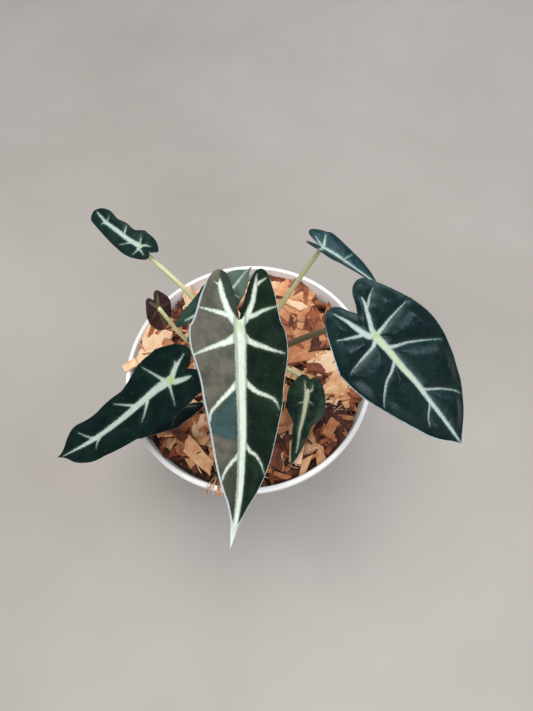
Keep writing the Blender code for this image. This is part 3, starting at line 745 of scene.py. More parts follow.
def blade_material(leaf):
    look = leaf.look
    paint = Paint("blade_top_" + leaf.name)
    flat = paint.attribute("flat", "Vector")
    ahead = paint.attribute("ahead")
    ragged = paint.math("MULTIPLY_ADD", paint.noise(flat, 1.1, 3, 0.6), 1.2, -0.60)
    outside = paint.math("ADD", paint.attribute("vein"), ragged)
    patch = paint.noise(flat, 0.11, 4, 0.6, 0.4)
    speck = paint.noise(flat, 0.9, 4, 0.7)
    ground = paint.mix(paint.span(patch, 0.38, 0.66), look.dark, look.green)
    ground = paint.mix(paint.span(speck, 0.35, 0.75, 0.0, 0.5), ground, look.green)
    light_green = tuple(2.4 * c + 0.008 for c in look.green)
    ground = paint.mix(paint.span(outside, 1.6, 0.0, 0.0, 0.55), ground, light_green)
    # Painted sheen: brown and blue reflections painted in patches over the right half.
    if look.painted_sheen:
        cloud = paint.noise(flat, 0.12, 3, 0.55, 0.2)
        for name, least, colour in (("painted_sheen", 0.40, PAINTED_SHEEN_BROWN), ("painted_blue_sheen", 0.55, PAINTED_BLUE_SHEEN)):
            cloudy = paint.span(cloud, 0.32, 0.62, least, 1.0)
            cover = paint.math("MULTIPLY", paint.attribute(name), cloudy)
            ground = paint.mix(cover, ground, colour)
    # Painted sheen: a grey-green reflection painted over the front of the blade.
    if look.painted_front_sheen:
        ground = paint.mix(paint.span(ahead, 14.0, 26.0, 0.0, look.painted_front_sheen), ground, PAINTED_SHEEN_GREY)
    dot = paint.span(paint.cells(flat, 0.33), 0.085, 0.05, 0.0, 0.3)
    ground = paint.mix(dot, ground, DOT)
    veins = vein_colour(paint, look, flat, outside, ahead)
    colour = paint.mix(paint.span(outside, 0.38, -0.32), ground, veins)
    rim = paint.math("ADD", paint.attribute("rim"), paint.math("MULTIPLY", ragged, 0.5))
    tip = paint.span(ahead, 0.84 * leaf.length, 0.96 * leaf.length)
    rim_colour = paint.mix(tip, look.rim, look.vein)
    paint.surface("Base Color", paint.mix(paint.span(rim, -0.2, 0.2), colour, rim_colour))
    rough = paint.span(patch, 0.3, 0.7, look.roughness - 0.06, look.roughness + 0.08)
    paint.surface("Roughness", rough)
    paint.surface("Specular IOR Level", look.shine)
    paint.surface("Specular Tint", look.sheen)
    pores = paint.math("MULTIPLY_ADD", speck, 0.8, paint.cells(flat, 1.3))
    paint.bump(pores, 0.25, 0.12 * MM)
    return paint.material


def vein_colour(paint, look, flat, outside, ahead):
    """Paler in the middle of each vein; on a striped midrib only along one strip, a little off centre,
    which is partly a painted highlight.
    """
    rib = paint.attribute("rib")
    off_rib = paint.math("ABSOLUTE", rib)
    from_stalk = paint.attribute("heel")
    lit = paint.span(outside, 0.0, -0.95, 0.25, 0.90)
    if look.strip:
        # The strip sits a little off the midrib's centre: partly its own pale centre, partly a painted
        # highlight.
        off_strip = paint.math("ABSOLUTE", paint.math("SUBTRACT", rib, 0.12))
        on_rib = paint.span(off_rib, 1.5, 1.0)
        near = paint.math("MULTIPLY", paint.span(off_strip, 0.90, 0.35), on_rib)
        far = paint.math("MULTIPLY", lit, paint.math("SUBTRACT", 1.0, on_rib))
        lit = paint.math("ADD", near, far)
    streak = paint.noise(paint.point((0.25, 1.6, 1), flat), 1.3, 3, 0.6)
    lit = paint.math("ADD", lit, paint.span(streak, 0.3, 0.7, -0.25, 0.25), clamp=True)
    colour = paint.mix(lit, tuple(0.45 * c for c in look.vein), look.vein)
    colour = paint.mix(paint.span(from_stalk, 3.6, 0.6, 0.0, look.heel), colour, HEEL)
    if look.centre:
        middle = paint.span(off_rib, 0.75, 0.15, 0.0, look.centre)
        middle = paint.math("MULTIPLY", middle, paint.span(from_stalk, 46.0, 20.0))
        middle = paint.math("MULTIPLY", middle, paint.span(ahead, 0.0, 2.0))
        colour = paint.mix(middle, colour, MIDRIB_CENTRE)
    return colour


def underside_material():
    paint = Paint("blade_underside")
    flat = paint.attribute("flat", "Vector")
    ground = paint.ramp(paint.noise(flat, 0.16, 4, 0.6), ((0.30, (0.030, 0.010, 0.020)),
                                                          (0.55, (0.060, 0.022, 0.034)),
                                                          (0.75, (0.055, 0.050, 0.035))))
    vein = paint.span(paint.attribute("vein"), 0.4, -0.3)
    paint.surface("Base Color", paint.mix(vein, ground, (0.17, 0.15, 0.08)))
    paint.surface("Roughness", 0.45)
    paint.bump(paint.noise(flat, 1.6, 4, 0.65), 0.3, 0.15 * MM)
    return paint.material


# ------------------------------------------------------------------ stalks and crown

SHEATH_SWELL = 1.35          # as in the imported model
STALK_TAPER = 0.85
CROWN_RING_START = 90
STALK_SIDES = 20
STALK_STEPS = 90
STALK_FOOT = (0.17, 0.13, 0.05)
STALK_BROWN = (0.120, 0.095, 0.050)
STALK_SPOT = (0.16, 0.085, 0.04)


def stalk_curve(number, leaf):
    """Four Bezier points of a stalk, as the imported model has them."""
    angle = math.radians(CROWN_RING_START) + math.tau * number / len(LEAVES)
    lean = math.radians(leaf.lean)
    base = leaf.stalk * MM * SHEATH_SWELL / 2
    raised = GAP + base * math.sin(lean)
    ring = CROWN_RADIUS + GAP + base
    foot = CROWN_FOOT + Vector(around(ring, angle, raised))
    turn = blade_turn(leaf)
    neck = math.radians(leaf.neck)
    arrival = turn @ Vector((math.sin(neck), 0, math.cos(neck)))
    corner = leaf.stalk * MM * STALK_TAPER / 2 * abs(math.sin(neck))
    up = turn @ Vector((0, 0, 1))
    top = blade_place(leaf) - up * (CAD_BLADE * MM + GAP + corner)
    level = Vector((top.x - foot.x, top.y - foot.y, 0)).normalized()
    start = level * math.sin(lean) + Vector((0, 0, math.cos(lean)))
    span = (top - foot).length
    return foot, foot + start * leaf.out * span, top - arrival * leaf.over * span, top


def bezier(corners, shares):
    a, b, c, d = (np.array(p) for p in corners)
    t = np.asarray(shares)[:, None]
    return (1 - t) ** 3 * a + 3 * (1 - t) ** 2 * t * b + 3 * (1 - t) * t * t * c + t ** 3 * d


def tube(path, radii, sides):
    """Points and faces of a closed tube along a path, and each point's share of the way."""
    path = np.asarray(path)
    heading = np.gradient(path, axis=0)
    heading /= np.linalg.norm(heading, axis=1)[:, None]
    across = np.cross(heading[0], (0.13, 0.31, 0.94))
    across /= np.linalg.norm(across)
    points, faces, ways = [], [], []
    for k, (centre, way, radius) in enumerate(zip(path, heading, radii)):
        across = across - way * (across @ way)
        across /= np.linalg.norm(across)
        over = np.cross(way, across)
        angles = np.arange(sides) * math.tau / sides
        ring = (centre + radius * (np.cos(angles)[:, None] * across
                                   + np.sin(angles)[:, None] * over))
        points.append(ring)
        ways += [k / (len(path) - 1)] * sides
        if k:
            low = (k - 1) * sides
            high = k * sides
            for s in range(sides):
                n = (s + 1) % sides
                faces.append((low + s, low + n, high + n, high + s))
    count = len(path) * sides
    points.append(np.array([path[0], path[-1]]))
    ways += [0.0, 1.0]
    last = (len(path) - 1) * sides
    for s in range(sides):
        n = (s + 1) % sides
        faces.append((n, s, count))
        faces.append((last + s, last + n, count + 1))
    return np.vstack(points), faces, np.array(ways)


def make_stalk(number, leaf, mat):
    corners = list(stalk_curve(number, leaf))
    up = blade_turn(leaf) @ Vector((0, 0, 1))
    corners[3] = blade_place(leaf) - up * (BLADE_THICKNESS + 0.3) * MM
    shares = np.linspace(0, 1, STALK_STEPS)
    path = bezier(corners, shares)
    middle = leaf.stalk * MM / 2
    swell = SHEATH_SWELL + (STALK_TAPER - SHEATH_SWELL) * shares
    sheath = 0.25 * (1 - smoothstep(0.0, 0.22, shares))
    knee = 0.18 * smoothstep(0.93, 0.985, shares)
    tip = 1 - 0.55 * smoothstep(0.985, 1.0, shares)
    points, faces, ways = tube(path, middle * (swell + sheath + knee) * tip, STALK_SIDES)
    stalk = array_object("stalk_" + leaf.name, points, faces, [mat])
    add_floats(stalk, "way", ways)
    add_floats(stalk, "tone", np.full(len(ways), leaf.look.stalk))
    add_vectors(stalk, "grain", grain_points(path, points, number))
    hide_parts("petiole_" + leaf.name)
    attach(stalk, BODY)


def grain_points(path, points, seed):
    """A coordinate that runs along the path, in mm, for streaks that follow it."""
    steps = np.r_[0, np.cumsum(np.linalg.norm(np.diff(path, axis=0), axis=1))] / MM
    _, index = nearest(points, path)
    offset = (points - path[index]) / MM
    return np.stack([steps[index] + 31 * seed, offset[:, 0] + offset[:, 1],
                     offset[:, 2] - offset[:, 1]], 1)


def stalk_material():
    paint = Paint("petiole_skin")
    grain = paint.attribute("grain", "Vector")
    streak = paint.noise(paint.point((0.10, 0.9, 0.9), grain), 1.2, 4, 0.6)
    blotch = paint.noise(paint.point((0.35, 0.8, 0.8), grain), 0.9, 3, 0.6)
    colour = paint.ramp(streak, ((0.3, (0.56, 0.58, 0.27)), (0.7, (0.80, 0.80, 0.50))))
    colour = paint.mix(paint.attribute("tone"), colour, STALK_BROWN)
    colour = paint.mix(paint.span(blotch, 0.58, 0.72, 0.0, 0.35), colour, STALK_SPOT)
    foot = paint.span(paint.attribute("way"), 0.25, 0.0, 0.0, 0.7)
    paint.surface("Base Color", paint.mix(foot, colour, STALK_FOOT))
    paint.surface("Roughness", 0.42)
    paint.bump(streak, 0.25, 0.2 * MM)
    return paint.material


class Heap:
    """Many loose pieces gathered in one mesh, with what their shader needs."""

    def __init__(self):
        self.points = []
        self.faces = []
        self.grain = []
        self.tone = []
        self.count = 0

    def add(self, points, faces, grain, tone=0.0):
        self.points.append(points)
        self.faces.extend(tuple(k + self.count for k in face) for face in faces)
        self.grain.append(grain)
        self.tone.append(np.full(len(points), tone))
        self.count += len(points)

    def gather(self, name, mat):
        made = array_object(name, np.vstack(self.points), self.faces, [mat])
        add_vectors(made, "grain", np.vstack(self.grain))
        return made

    def finish(self, name, mat, slot, *nodes):
        made = self.gather(name, mat)
        made.data.set_sharp_from_angle(angle=math.radians(CHIP_EDGE))
        add_floats(made, "tone", np.concatenate(self.tone))
        if nodes:
            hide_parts(*nodes)
        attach(made, BODY)


SCALES = 9                   # dry sheath scales round the crown
SCALE_ROWS = 14
SCALE_COLUMNS = 12


def make_crown(mat):
    """A short stem wrapped in dry, overlapping sheath scales, with a new shoot on top."""
    dice = random.Random(5)
    height = crown_high.z - crown_low.z
    foot = np.array(CROWN_FOOT)
    heap = Heap()
    stem = foot + [(0, 0, GAP + height * s) for s in np.linspace(0, 0.75, 24)]
    radii = [CROWN_RADIUS * (0.86 - 0.30 * s ** 2 + 0.03 * math.sin(14 * s))
             for s in np.linspace(0, 1, 24)]
    points, faces, _ = tube(stem, radii, 36)
    heap.add(points, faces, grain_points(stem, points, 1))
    shares = np.linspace(0, 1, 20)
    shoot = foot + [(0.9 * MM * s, -1.2 * MM * s, height * (0.45 + 0.54 * s)) for s in shares]
    radii = CROWN_RADIUS * 0.36 * (1 - shares ** 1.8) ** 0.7 + 0.12 * MM
    points, faces, _ = tube(shoot, radii, 20)
    heap.add(points, faces, grain_points(shoot, points, 2))
    count = SCALE_COLUMNS + 1
    outer = grid_faces(SCALE_ROWS + 1, count)
    total = (SCALE_ROWS + 1) * count
    faces = outer + [quad[::-1] for quad in grid_faces(SCALE_ROWS + 1, count, total)]
    faces += [(b, a, a + total, b + total) for a, b in open_edges(outer)]
    for k in range(SCALES):
        turn = k * 2.4 + dice.uniform(-0.3, 0.3)
        low = 0.02 + 0.055 * k
        tall = height * dice.uniform(0.42, 0.6)
        width = dice.uniform(0.9, 1.3)
        sheet = []
        for r in range(SCALE_ROWS + 1):
            v = r / SCALE_ROWS
            half = width * (1 - v ** 2.2) ** 0.8 + 0.02
            radius = CROWN_RADIUS * min(0.98 - 0.02 * k + 0.10 * v * v, 0.99)
            for c in range(count):
                angle = turn + (c / SCALE_COLUMNS - 0.5) * 2 * half
                ragged = 0.12 * MM * math.sin(9 * angle + k) * v
                sheet.append(around(radius, angle, GAP + height * low + tall * v + ragged))
        sheet = np.array(sheet)
        grain = np.stack([8 * sheet[:, 2] / height, 3 * sheet[:, 0] / CROWN_RADIUS,
                          np.full(total, k)], 1)
        heap.add(np.vstack([sheet, sheet * (0.93, 0.93, 1)]) + foot, faces,
                 np.vstack([grain, grain]))
    crown = heap.gather("crown_scales", mat)
    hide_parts("crown")
    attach(crown, BODY)


def crown_material():
    paint = Paint("crown_scale")
    grain = paint.attribute("grain", "Vector")
    streak = paint.noise(paint.point((0.3, 2.5, 2.5), grain), 1.4, 5, 0.65)
    colour = paint.ramp(streak, ((0.25, (0.05, 0.025, 0.012)), (0.5, (0.22, 0.13, 0.06)),
                                 (0.75, (0.42, 0.33, 0.16))))
    paint.surface("Base Color", colour)
    paint.surface("Roughness", 0.7)
    paint.bump(streak, 0.6, 0.3 * MM)
    return paint.material


# ------------------------------------------------------------------ pot

POT_SIDES = 192
POT_EDGE = 40                # degrees, from which an edge of the pot is sharp
COLLAR_HEIGHT = 5 * MM
OVERHANG = 1.3 * MM
WALL = 1.5 * MM
FLOOR = 2.4 * MM
BASE_RADIUS = 50 * MM
DRAIN_RADIUS = 4.5 * MM
DRAIN_COUNT = 8
DRAIN_RING = 35 * MM


def wall_radius(height):
    top = RIM_RADIUS - OVERHANG
    return BASE_RADIUS + (top - BASE_RADIUS) * height / RIM_TOP


def arc(centre, radius, start, end, steps):
    return [(centre[0] + radius * math.cos(math.radians(a)),
             centre[1] + radius * math.sin(math.radians(a)))
            for a in np.linspace(start, end, steps)]


def pot_profile():
    """The pot's section, from the middle of its underside round to the middle of its floor."""
    edge = 1.2 * MM
    lip = 0.9 * MM
    foot = RIM_TOP - COLLAR_HEIGHT
    profile = [(0.0, 0.6 * MM), (18 * MM, 0.6 * MM), (24 * MM, 0.6 * MM), (25 * MM, 0.0)]
    profile += [(BASE_RADIUS * 0.9, 0.0)]
    profile += arc((BASE_RADIUS - edge, edge), edge, -90, 0, 7)
    for height in np.linspace(4 * MM, foot - 1.2 * MM, 40):
        profile.append((wall_radius(height), height))
    profile += [(wall_radius(foot) + 0.15 * MM, foot - 0.5 * MM)]
    profile += arc((RIM_RADIUS - 0.8 * MM, foot + 0.8 * MM), 0.8 * MM, -80, 0, 7)
    profile += [(RIM_RADIUS, h) for h in np.linspace(foot + 1.5 * MM, RIM_TOP - 1.6 * MM, 8)]
    profile += arc((RIM_RADIUS - edge, RIM_TOP - edge), edge, 0, 90, 9)
    inner = wall_radius(RIM_TOP) - WALL
    profile += arc((inner + lip, RIM_TOP - lip), lip, 90, 180, 7)
    for height in np.linspace(RIM_TOP - 3 * MM, FLOOR + 2 * MM, 40):
        profile.append((wall_radius(height) - WALL, height))
    profile += arc((wall_radius(FLOOR) - WALL - edge, FLOOR + edge), edge, 0, -90, 6)
    profile += [(20 * MM, FLOOR), (0.0, FLOOR)]
    return profile


def turned(name, profile, sides, mat):
    bm = bmesh.new()
    angles = [math.tau * k / sides for k in range(sides)]
    rings = []
    for radius, height in profile:
        if radius == 0:
            rings.append([bm.verts.new((0, 0, height))] * sides)
            continue
        rings.append([bm.verts.new(around(radius, angle, height)) for angle in angles])
    bridge(bm, rings)
    made = new_object(name, bm)
    made.data.shade_smooth()
    made.data.set_sharp_from_angle(angle=math.radians(POT_EDGE))
    made.data.materials.append(mat)
    return made


def make_pot(mat):
    pot = turned("pot_shell", pot_profile(), POT_SIDES, mat)
    bm = bmesh.new()
    for k in range(DRAIN_COUNT):
        angle = math.tau * (k + 0.5) / DRAIN_COUNT
        made = bmesh.ops.create_cone(bm, cap_ends=True, segments=40, radius1=DRAIN_RADIUS,
                                     radius2=DRAIN_RADIUS, depth=12 * MM)
        place = Vector(around(DRAIN_RING, angle, 1 * MM))
        bmesh.ops.translate(bm, verts=made["verts"], vec=place)
    cutter = new_object("drain_cutter", bm)
    cut = pot.modifiers.new("drains", "BOOLEAN")
    cut.operation = "DIFFERENCE"
    cut.solver = "EXACT"
    cut.object = cutter
    bpy.context.view_layer.update()
    graph = bpy.context.evaluated_depsgraph_get()
    finished = bpy.data.meshes.new_from_object(pot.evaluated_get(graph))
    pot.modifiers.clear()
    pot.data = finished
    bpy.data.objects.remove(cutter)
    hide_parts("pot")
    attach(pot, BODY)


def pot_material():
    paint = Paint("white_plastic")
    point = paint.point(1.0)
    cloud = paint.noise(point, 30, 4, 0.6)
    speck = paint.noise(point, 900, 3, 0.7)
    colour = paint.ramp(cloud, ((0.3, (0.83, 0.82, 0.82)), (0.7, (0.90, 0.895, 0.89))))
    dust = paint.span(speck, 0.62, 0.80, 0.0, 0.35)
    paint.surface("Base Color", paint.mix(dust, colour, (0.45, 0.38, 0.31)))
    paint.surface("Roughness", paint.span(cloud, 0.3, 0.7, 0.30, 0.42))
    paint.bump(speck, 0.12, 0.1 * MM)
    return paint.material


# ------------------------------------------------------------------ potting mix and husk chips

MIX_RINGS = 70
MIX_SIDES = 200
MIX_ROUGH = 1.5 * MM         # how high the mix's own lumps are
FRONT_SHADE = 0.24           # painted shade: how much darker the husk is towards the front rim
CHIP_EDGE = 50               # degrees, from which an edge of a chip is sharp
LOOSE_CHIPS = 520
SPLINTERS = 0.62             # their share that are narrow splinters
FIBRES = 240
FIBRE_SIDES = 6
FIBRE_STEPS = 12
STRAY_FIBRES = 12
CRUMBS = 420


def make_mix(mat):
    """The mix's body: a lumpy top over a plain cone that fills the pot."""
    bm = bmesh.new()
    angles = [math.tau * s / MIX_SIDES for s in range(MIX_SIDES)]
    rows = []
    for r in range(MIX_RINGS + 1):
        radius = MIX_RADIUS * r / MIX_RINGS
        row = []
        for angle in angles if r else angles[:1]:
            x = radius * math.cos(angle)
            y = radius * math.sin(angle)
            rough = noise.fractal((x * 160, y * 160, 3.0), 0.9, 2.1, 5)
            z = MIX_TOP - 1.2 * MM + MIX_ROUGH * rough + pile(x, y)
            row.append(bm.verts.new((x, y, z)))
        rows.append(row if r else row * MIX_SIDES)
    radius = wall_radius(FLOOR) - WALL - GAP
    rows.append([bm.verts.new(around(radius, angle, mix_low.z)) for angle in angles])
    bm.faces.new(rows[-1])
    bridge(bm, rows)
    body = new_object("mix_body", bm)
    body.data.shade_smooth()
    body.data.materials.append(mat)
    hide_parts("potting_mix")
    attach(body, BODY)


def mix_material():
    paint = Paint("dark_mix")
    grain = paint.noise(paint.point(1.0), 420, 6, 0.75)
    colour = paint.ramp(grain, ((0.3, (0.018, 0.006, 0.004)), (0.5, (0.06, 0.022, 0.011)),
                                (0.72, (0.20, 0.085, 0.035))))
    paint.surface("Base Color", colour)
    paint.surface("Roughness", 0.95)
    paint.bump(grain, 0.9, 1.0 * MM)
    return paint.material


def block(counts):
    """The surface of a block of cells: its points, from -0.5 to 0.5, and its faces."""
    index, faces = {}, []
    for axis in range(3):
        u, v = (axis + 1) % 3, (axis + 2) % 3
        for i, j, end in product(range(counts[u]), range(counts[v]), (0, counts[axis])):
            quad = []
            for right, up in ((0, 0), (1, 0), (1, 1), (0, 1)):
                place = [end] * 3
                place[u] = i + right
                place[v] = j + up
                quad.append(index.setdefault(tuple(place), len(index)))
            faces.append(tuple(quad if end else quad[:1] + quad[:0:-1]))
    return np.array(list(index)) / counts - 0.5, faces


def torn(u, v, w, gain=0.8, octaves=3):
    """Fractal noise at many points, each coordinate a number or an array."""
    return np.array([noise.fractal(point, gain, 2.0, octaves) for point in np.broadcast(u, v, w)])


def chunk(length, width, thickness, dice, step):
    """A torn block of husk, centred on the origin, long side along X: points and faces."""
    p, faces = block((max(int(length / step), 6), max(int(width / step), 4),
                      max(int(thickness / step), 2)))
    shape = dice.uniform(0, 100)
    skew = dice.uniform(-0.35, 0.35)
    taper = dice.uniform(-0.45, 0.45)
    p[:, 1] *= 1 + taper * p[:, 0] * 2 * 0.6
    p[:, 0] += skew * p[:, 1]
    x = p[:, 0] * length
    y = p[:, 1] * width
    z = p[:, 2] * thickness
    bow = dice.uniform(-0.10, 0.10) * length
    rows = np.array([noise.noise((a / (9 * MM), shape, 1.0)) for a in x])
    ends = torn(shape, y / (1.6 * MM), z / (2.5 * MM))
    wall = torn(x / (7 * MM), z / (1.8 * MM), shape + 9)
    face = torn(x / (8 * MM), y / (1.3 * MM), shape + 5, 0.9, 4)
    small = min(1.0, width / (8 * MM))
    x = x + 1.1 * MM * small * ends * np.abs(p[:, 0]) * 2
    y = y + 0.5 * MM * small * wall * np.abs(p[:, 1]) * 2 + 0.8 * MM * small * rows
    z = z + 0.42 * MM * face + bow * (4 * p[:, 0] ** 2 - 0.5)
    return np.stack([x, y, z], 1), faces


def placed(points, turn, place):
    return points @ np.array(turn.to_matrix()).T + np.array(place)


def keep_in_pot(points, low, high):
    """Pulls points back inside the pot's wall and below a height."""
    points = points.copy()
    reach = np.hypot(points[:, 0], points[:, 1])
    room = wall_radius(points[:, 2]) - WALL - 0.1 * MM
    scale = np.minimum(1, room / np.maximum(reach, 1e-9))
    points[:, 0] *= scale
    points[:, 1] *= scale
    points[:, 2] = np.clip(points[:, 2], low, high)
    return points


# Painted shade: the husk is painted darker towards the front rim.
def front_shade(y):
    return FRONT_SHADE * max(0.0, -y / MIX_RADIUS)


def random_spot(dice, low, high):
    """A random place over the mix, from one share of its area to another."""
    angle = dice.uniform(0, math.tau)
    radius = MIX_RADIUS * math.sqrt(dice.uniform(low, high))
    return radius * math.cos(angle), radius * math.sin(angle)


def leaning(turn, steep):
    return Quaternion((0, 0, 1), turn) @ Quaternion((0, 1, 0), steep)


def make_chips(mat):
    dice = random.Random(21)
    names = sorted(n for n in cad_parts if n.startswith("husk_chip_"))
    for number, name in enumerate(names):
        low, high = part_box(name)
        size = high - low
        turn = 0.0 if size.x > size.y else math.pi / 2
        length = max(size.x, size.y) * 1.02
        width = min(size.x, size.y) * 0.98
        points, faces = chunk(length, width, size.z * 1.1, dice, 0.7 * MM)
        tilt = Euler((dice.uniform(-0.10, 0.10), dice.uniform(-0.10, 0.10),
                      turn + dice.uniform(-0.2, 0.2))).to_quaternion()
        place = (low + high) / 2 + Vector((0, 0, 0.3 * MM))
        moved = keep_in_pot(placed(points, tilt, place), MIX_TOP - 4 * MM, RIM_TOP + 3 * MM)
        grain = points / MM + np.array([40 * number, 0, 7 * number])
        heap = Heap()
        heap.add(moved, faces, grain, dice.random() - front_shade(place.y))
        heap.finish("chip_" + name[-2:], mat, "husk", name)


def clear_of_crown(x, y, margin):
    return math.hypot(x - CROWN_FOOT.x, y - CROWN_FOOT.y) > CROWN_RADIUS + margin


def pile(x, y):
    """How much higher than usual the mix is heaped here: towards the left of the wall."""
    reach = math.hypot(x, y) / MIX_RADIUS
    facing = math.atan2(y, x)
    side = max(0.0, math.cos(facing - math.radians(165))) + 0.5 * max(0.0, math.cos(facing + 1.75))
    return 6.5 * MM * side * max(0.0, (reach - 0.45) / 0.55)


def make_loose_chips(mat):
    """Smaller chips and splinters that fill the gaps and lie over the big ones."""
    dice = random.Random(8)
    heap = Heap()
    for number in range(LOOSE_CHIPS):
        x, y = random_spot(dice, 0.0, 0.98)
        if not clear_of_crown(x, y, 3 * MM):
            continue
        splinter = dice.random() < SPLINTERS
        if splinter:
            length = dice.uniform(8, 21) * MM
            width = dice.uniform(1.3, 3.2) * MM
            thickness = dice.uniform(0.8, 1.8) * MM
        else:
            length = dice.uniform(8, 17) * MM
            width = length * dice.uniform(0.35, 0.65)
            thickness = dice.uniform(1.4, 3.2) * MM
        points, faces = chunk(length, width, thickness, dice, 0.95 * MM)
        steep = dice.uniform(0, 0.5) ** 1.2
        tilt = leaning(dice.uniform(0, math.tau), steep)
        tilt = tilt @ Quaternion((1, 0, 0), dice.uniform(-0.5, 0.5))
        rise = dice.choice((-0.5, 1.0, 2.5, 4.0, 5.0)) * MM
        place = Vector((x, y, MIX_TOP + rise + pile(x, y) + thickness / 2))
        moved = keep_in_pot(placed(points, tilt, place), MIX_TOP - 6 * MM, RIM_TOP + 0.5 * MM)
        grain = points / MM + np.array([53 * number, 3 * number, 0])
        tone = dice.uniform(0, 0.66) if splinter else dice.uniform(0.16, 0.97)
        heap.add(moved, faces, grain, tone - front_shade(y))
    heap.finish("loose_chips", mat, "husk")


# Big flat chips: mm from the pot's middle, turn in degrees, length and width in mm, tone.
BIG_CHIPS = ((-58, 22, 75, 30, 17, 0.86), (36, 54, -25, 24, 13, 0.62), (24, -47, 80, 27, 9, 0.84),
             (55, -12, 60, 22, 12, 0.74), (-33, -50, -50, 21, 8, 0.70), (46, 30, 100, 19, 8, 0.30),
             (-46, -34, -35, 26, 6, 0.12), (18, 58, 10, 22, 9, 0.80))


def make_big_chips(mat):
    dice = random.Random(5)
    heap = Heap()
    for number, (x, y, turn, length, width, tone) in enumerate(BIG_CHIPS):
        points, faces = chunk(length * MM, width * MM, 2.6 * MM, dice, 0.8 * MM)
        tilt = leaning(math.radians(turn), 0.12)
        place = Vector((x * MM, y * MM, MIX_TOP + pile(x * MM, y * MM) + 6 * MM))
        moved = keep_in_pot(placed(points, tilt, place), MIX_TOP - 3 * MM, RIM_TOP + 0.5 * MM)
        heap.add(moved, faces, points / MM + 71 * number, tone)
    heap.finish("big_chips", mat, "husk")


def strand(path, radius, ends):
    """A thin fibre along a path, thinner at its ends: points and faces."""
    radii = np.full(len(path), radius)
    radii[[0, -1]] *= ends
    return tube(path, radii, FIBRE_SIDES)[:2]


def make_overhang(mat):
    """A chip resting on the rim at the left and a tuft of fibre over it at the front."""
    dice = random.Random(3)
    heap = Heap()
    angle = math.radians(172)
    radius = RIM_RADIUS - 3.0 * MM
    points, faces = chunk(9 * MM, 5 * MM, 1.6 * MM, dice, 0.8 * MM)
    place = Vector(around(radius, angle, RIM_TOP + 1.7 * MM))
    moved = placed(points, leaning(angle + 0.6, 0.10), place)
    heap.add(moved, faces, points / MM + 900, 0.8)
    for number in range(STRAY_FIBRES):
        angle = math.radians(dice.uniform(-112, -107))
        stray = dice.uniform(-0.06, 0.06)
        start = RIM_RADIUS - dice.uniform(5, 9) * MM
        drop = dice.uniform(1, 6) * MM
        path = []
        for s in np.linspace(0, 1, FIBRE_STEPS):
            reach = start + (RIM_RADIUS + 2.5 * MM - start) * s
            rise = RIM_TOP + 1.2 * MM - 4 * MM * (1 - s) ** 2
            rise -= drop * max(0.0, s - 0.8) / 0.2
            path.append(around(reach, angle + stray * s, rise))
        path = np.array(path)
        points, faces = strand(path, dice.uniform(0.15, 0.35) * MM, 0.5)
        heap.add(points, faces, grain_points(path, points, number), dice.uniform(0.4, 0.9))
    heap.finish("rim_bits", mat, "husk")


def make_fibres(mat):
    dice = random.Random(33)
    heap = Heap()
    for number in range(FIBRES):
        x, y = random_spot(dice, 0.01, 0.9)
        if not clear_of_crown(x, y, 2 * MM):
            continue
        length = dice.uniform(6, 20) * MM
        way = dice.uniform(0, math.tau)
        curl = dice.uniform(-1.6, 1.6)
        rise = MIX_TOP + pile(x, y) + dice.uniform(1.5, 6.0) * MM
        s = np.linspace(-0.5, 0.5, FIBRE_STEPS)
        path = np.stack([x + length * s * np.cos(way + curl * s),
                         y + length * s * np.sin(way + curl * s),
                         rise + 1.5 * MM * np.sin(3 * s + number)], 1)
        points, faces = strand(path, dice.uniform(0.12, 0.28) * MM, 0.4)
        points = keep_in_pot(points, MIX_TOP - 2 * MM, RIM_TOP - 0.5 * MM)
        heap.add(points, faces, grain_points(path, points, number), dice.random())
    heap.finish("coir_fibres", mat, "husk")


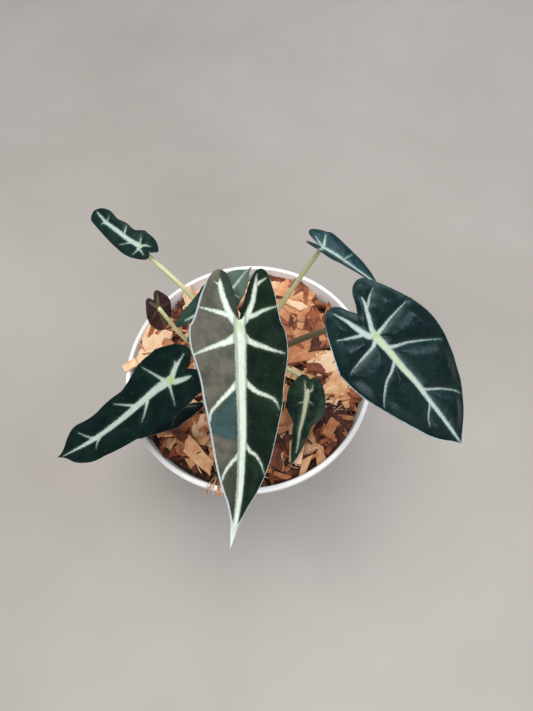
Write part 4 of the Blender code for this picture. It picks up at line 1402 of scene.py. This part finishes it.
def make_crumbs(mat):
    dice = random.Random(44)
    heap = Heap()
    ball = bmesh.new()
    bmesh.ops.create_icosphere(ball, subdivisions=2, radius=1)
    ball.verts.ensure_lookup_table()
    sphere = np.array([v.co for v in ball.verts])
    triangles = [tuple(v.index for v in f.verts) for f in ball.faces]
    ball.free()
    for number in range(CRUMBS):
        x, y = random_spot(dice, 0.0, 0.98)

        size = dice.uniform(0.6, 1.9) * MM
        lumps = np.array([1 + 0.45 * noise.noise(Vector(p) * 1.4 + Vector((number, 0, 0)))
                          for p in sphere])
        stretch = np.array([dice.uniform(0.7, 1.5), dice.uniform(0.6, 1.1),
                            dice.uniform(0.5, 0.9)])
        tilt = Euler([dice.uniform(0, 3) for _ in range(3)]).to_quaternion()
        place = (x, y, MIX_TOP + pile(x, y) + dice.uniform(-0.5, 2.2) * MM)
        points = placed(sphere * lumps[:, None] * stretch * size, tilt, place)
        points = keep_in_pot(points, MIX_TOP - 3 * MM, RIM_TOP - 0.5 * MM)
        heap.add(points, triangles, sphere * size / MM + number, dice.uniform(0.0, 0.6))
    heap.finish("mix_crumbs", mat, "mix")


HUSK_TONES = ((0.36, (0.040, 0.012, 0.008)), (0.50, (0.150, 0.040, 0.020)),
              (0.64, (0.360, 0.110, 0.045)), (0.80, (0.580, 0.260, 0.115)),
              (0.94, (0.760, 0.460, 0.250)), (1.0, (0.860, 0.600, 0.380)))


def husk_material(name, bright):
    """Coir husk from dark red-brown through orange-brown to light tan, grained along X."""
    paint = Paint(name)
    grain = paint.attribute("grain", "Vector")
    fibre = paint.noise(paint.point((0.12, 1.6, 1.6), grain), 1.1, 5, 0.65)
    blotch = paint.noise(grain, 0.16, 3, 0.6)
    mixed = paint.math("MULTIPLY", paint.attribute("tone"), 0.72)
    mixed = paint.math("MULTIPLY_ADD", blotch, 0.42, mixed)
    mixed = paint.math("MULTIPLY_ADD", fibre, 0.34, mixed)
    stops = [(place, tuple(bright * c for c in colour)) for place, colour in HUSK_TONES]
    colour = paint.ramp(mixed, stops)
    pink = paint.span(paint.noise(grain, 0.05, 2, 0.5), 0.52, 0.62, 0.0, 0.5)
    pinker = paint.mix(1.0, colour, (1.0, 0.80, 0.85), "MULTIPLY")
    paint.surface("Base Color", paint.mix(pink, colour, pinker))
    paint.surface("Roughness", 0.85)
    paint.bump(fibre, 0.8, 0.4 * MM)
    return paint.material


# ------------------------------------------------------------------ everything together

make_camera()
make_light()
make_floor()
under = underside_material()
petiole = stalk_material()
for number, leaf in enumerate(LEAVES):
    make_blade(number, leaf, under)
    make_stalk(number, leaf, petiole)
make_crown(crown_material())
make_pot(pot_material())
make_mix(mix_material())
husk = husk_material("coconut_husk", 1.0)
make_chips(husk)
make_loose_chips(husk)
make_big_chips(husk)
make_overhang(husk)
make_fibres(husk)
make_crumbs(husk_material("dark_crumb", 0.5))
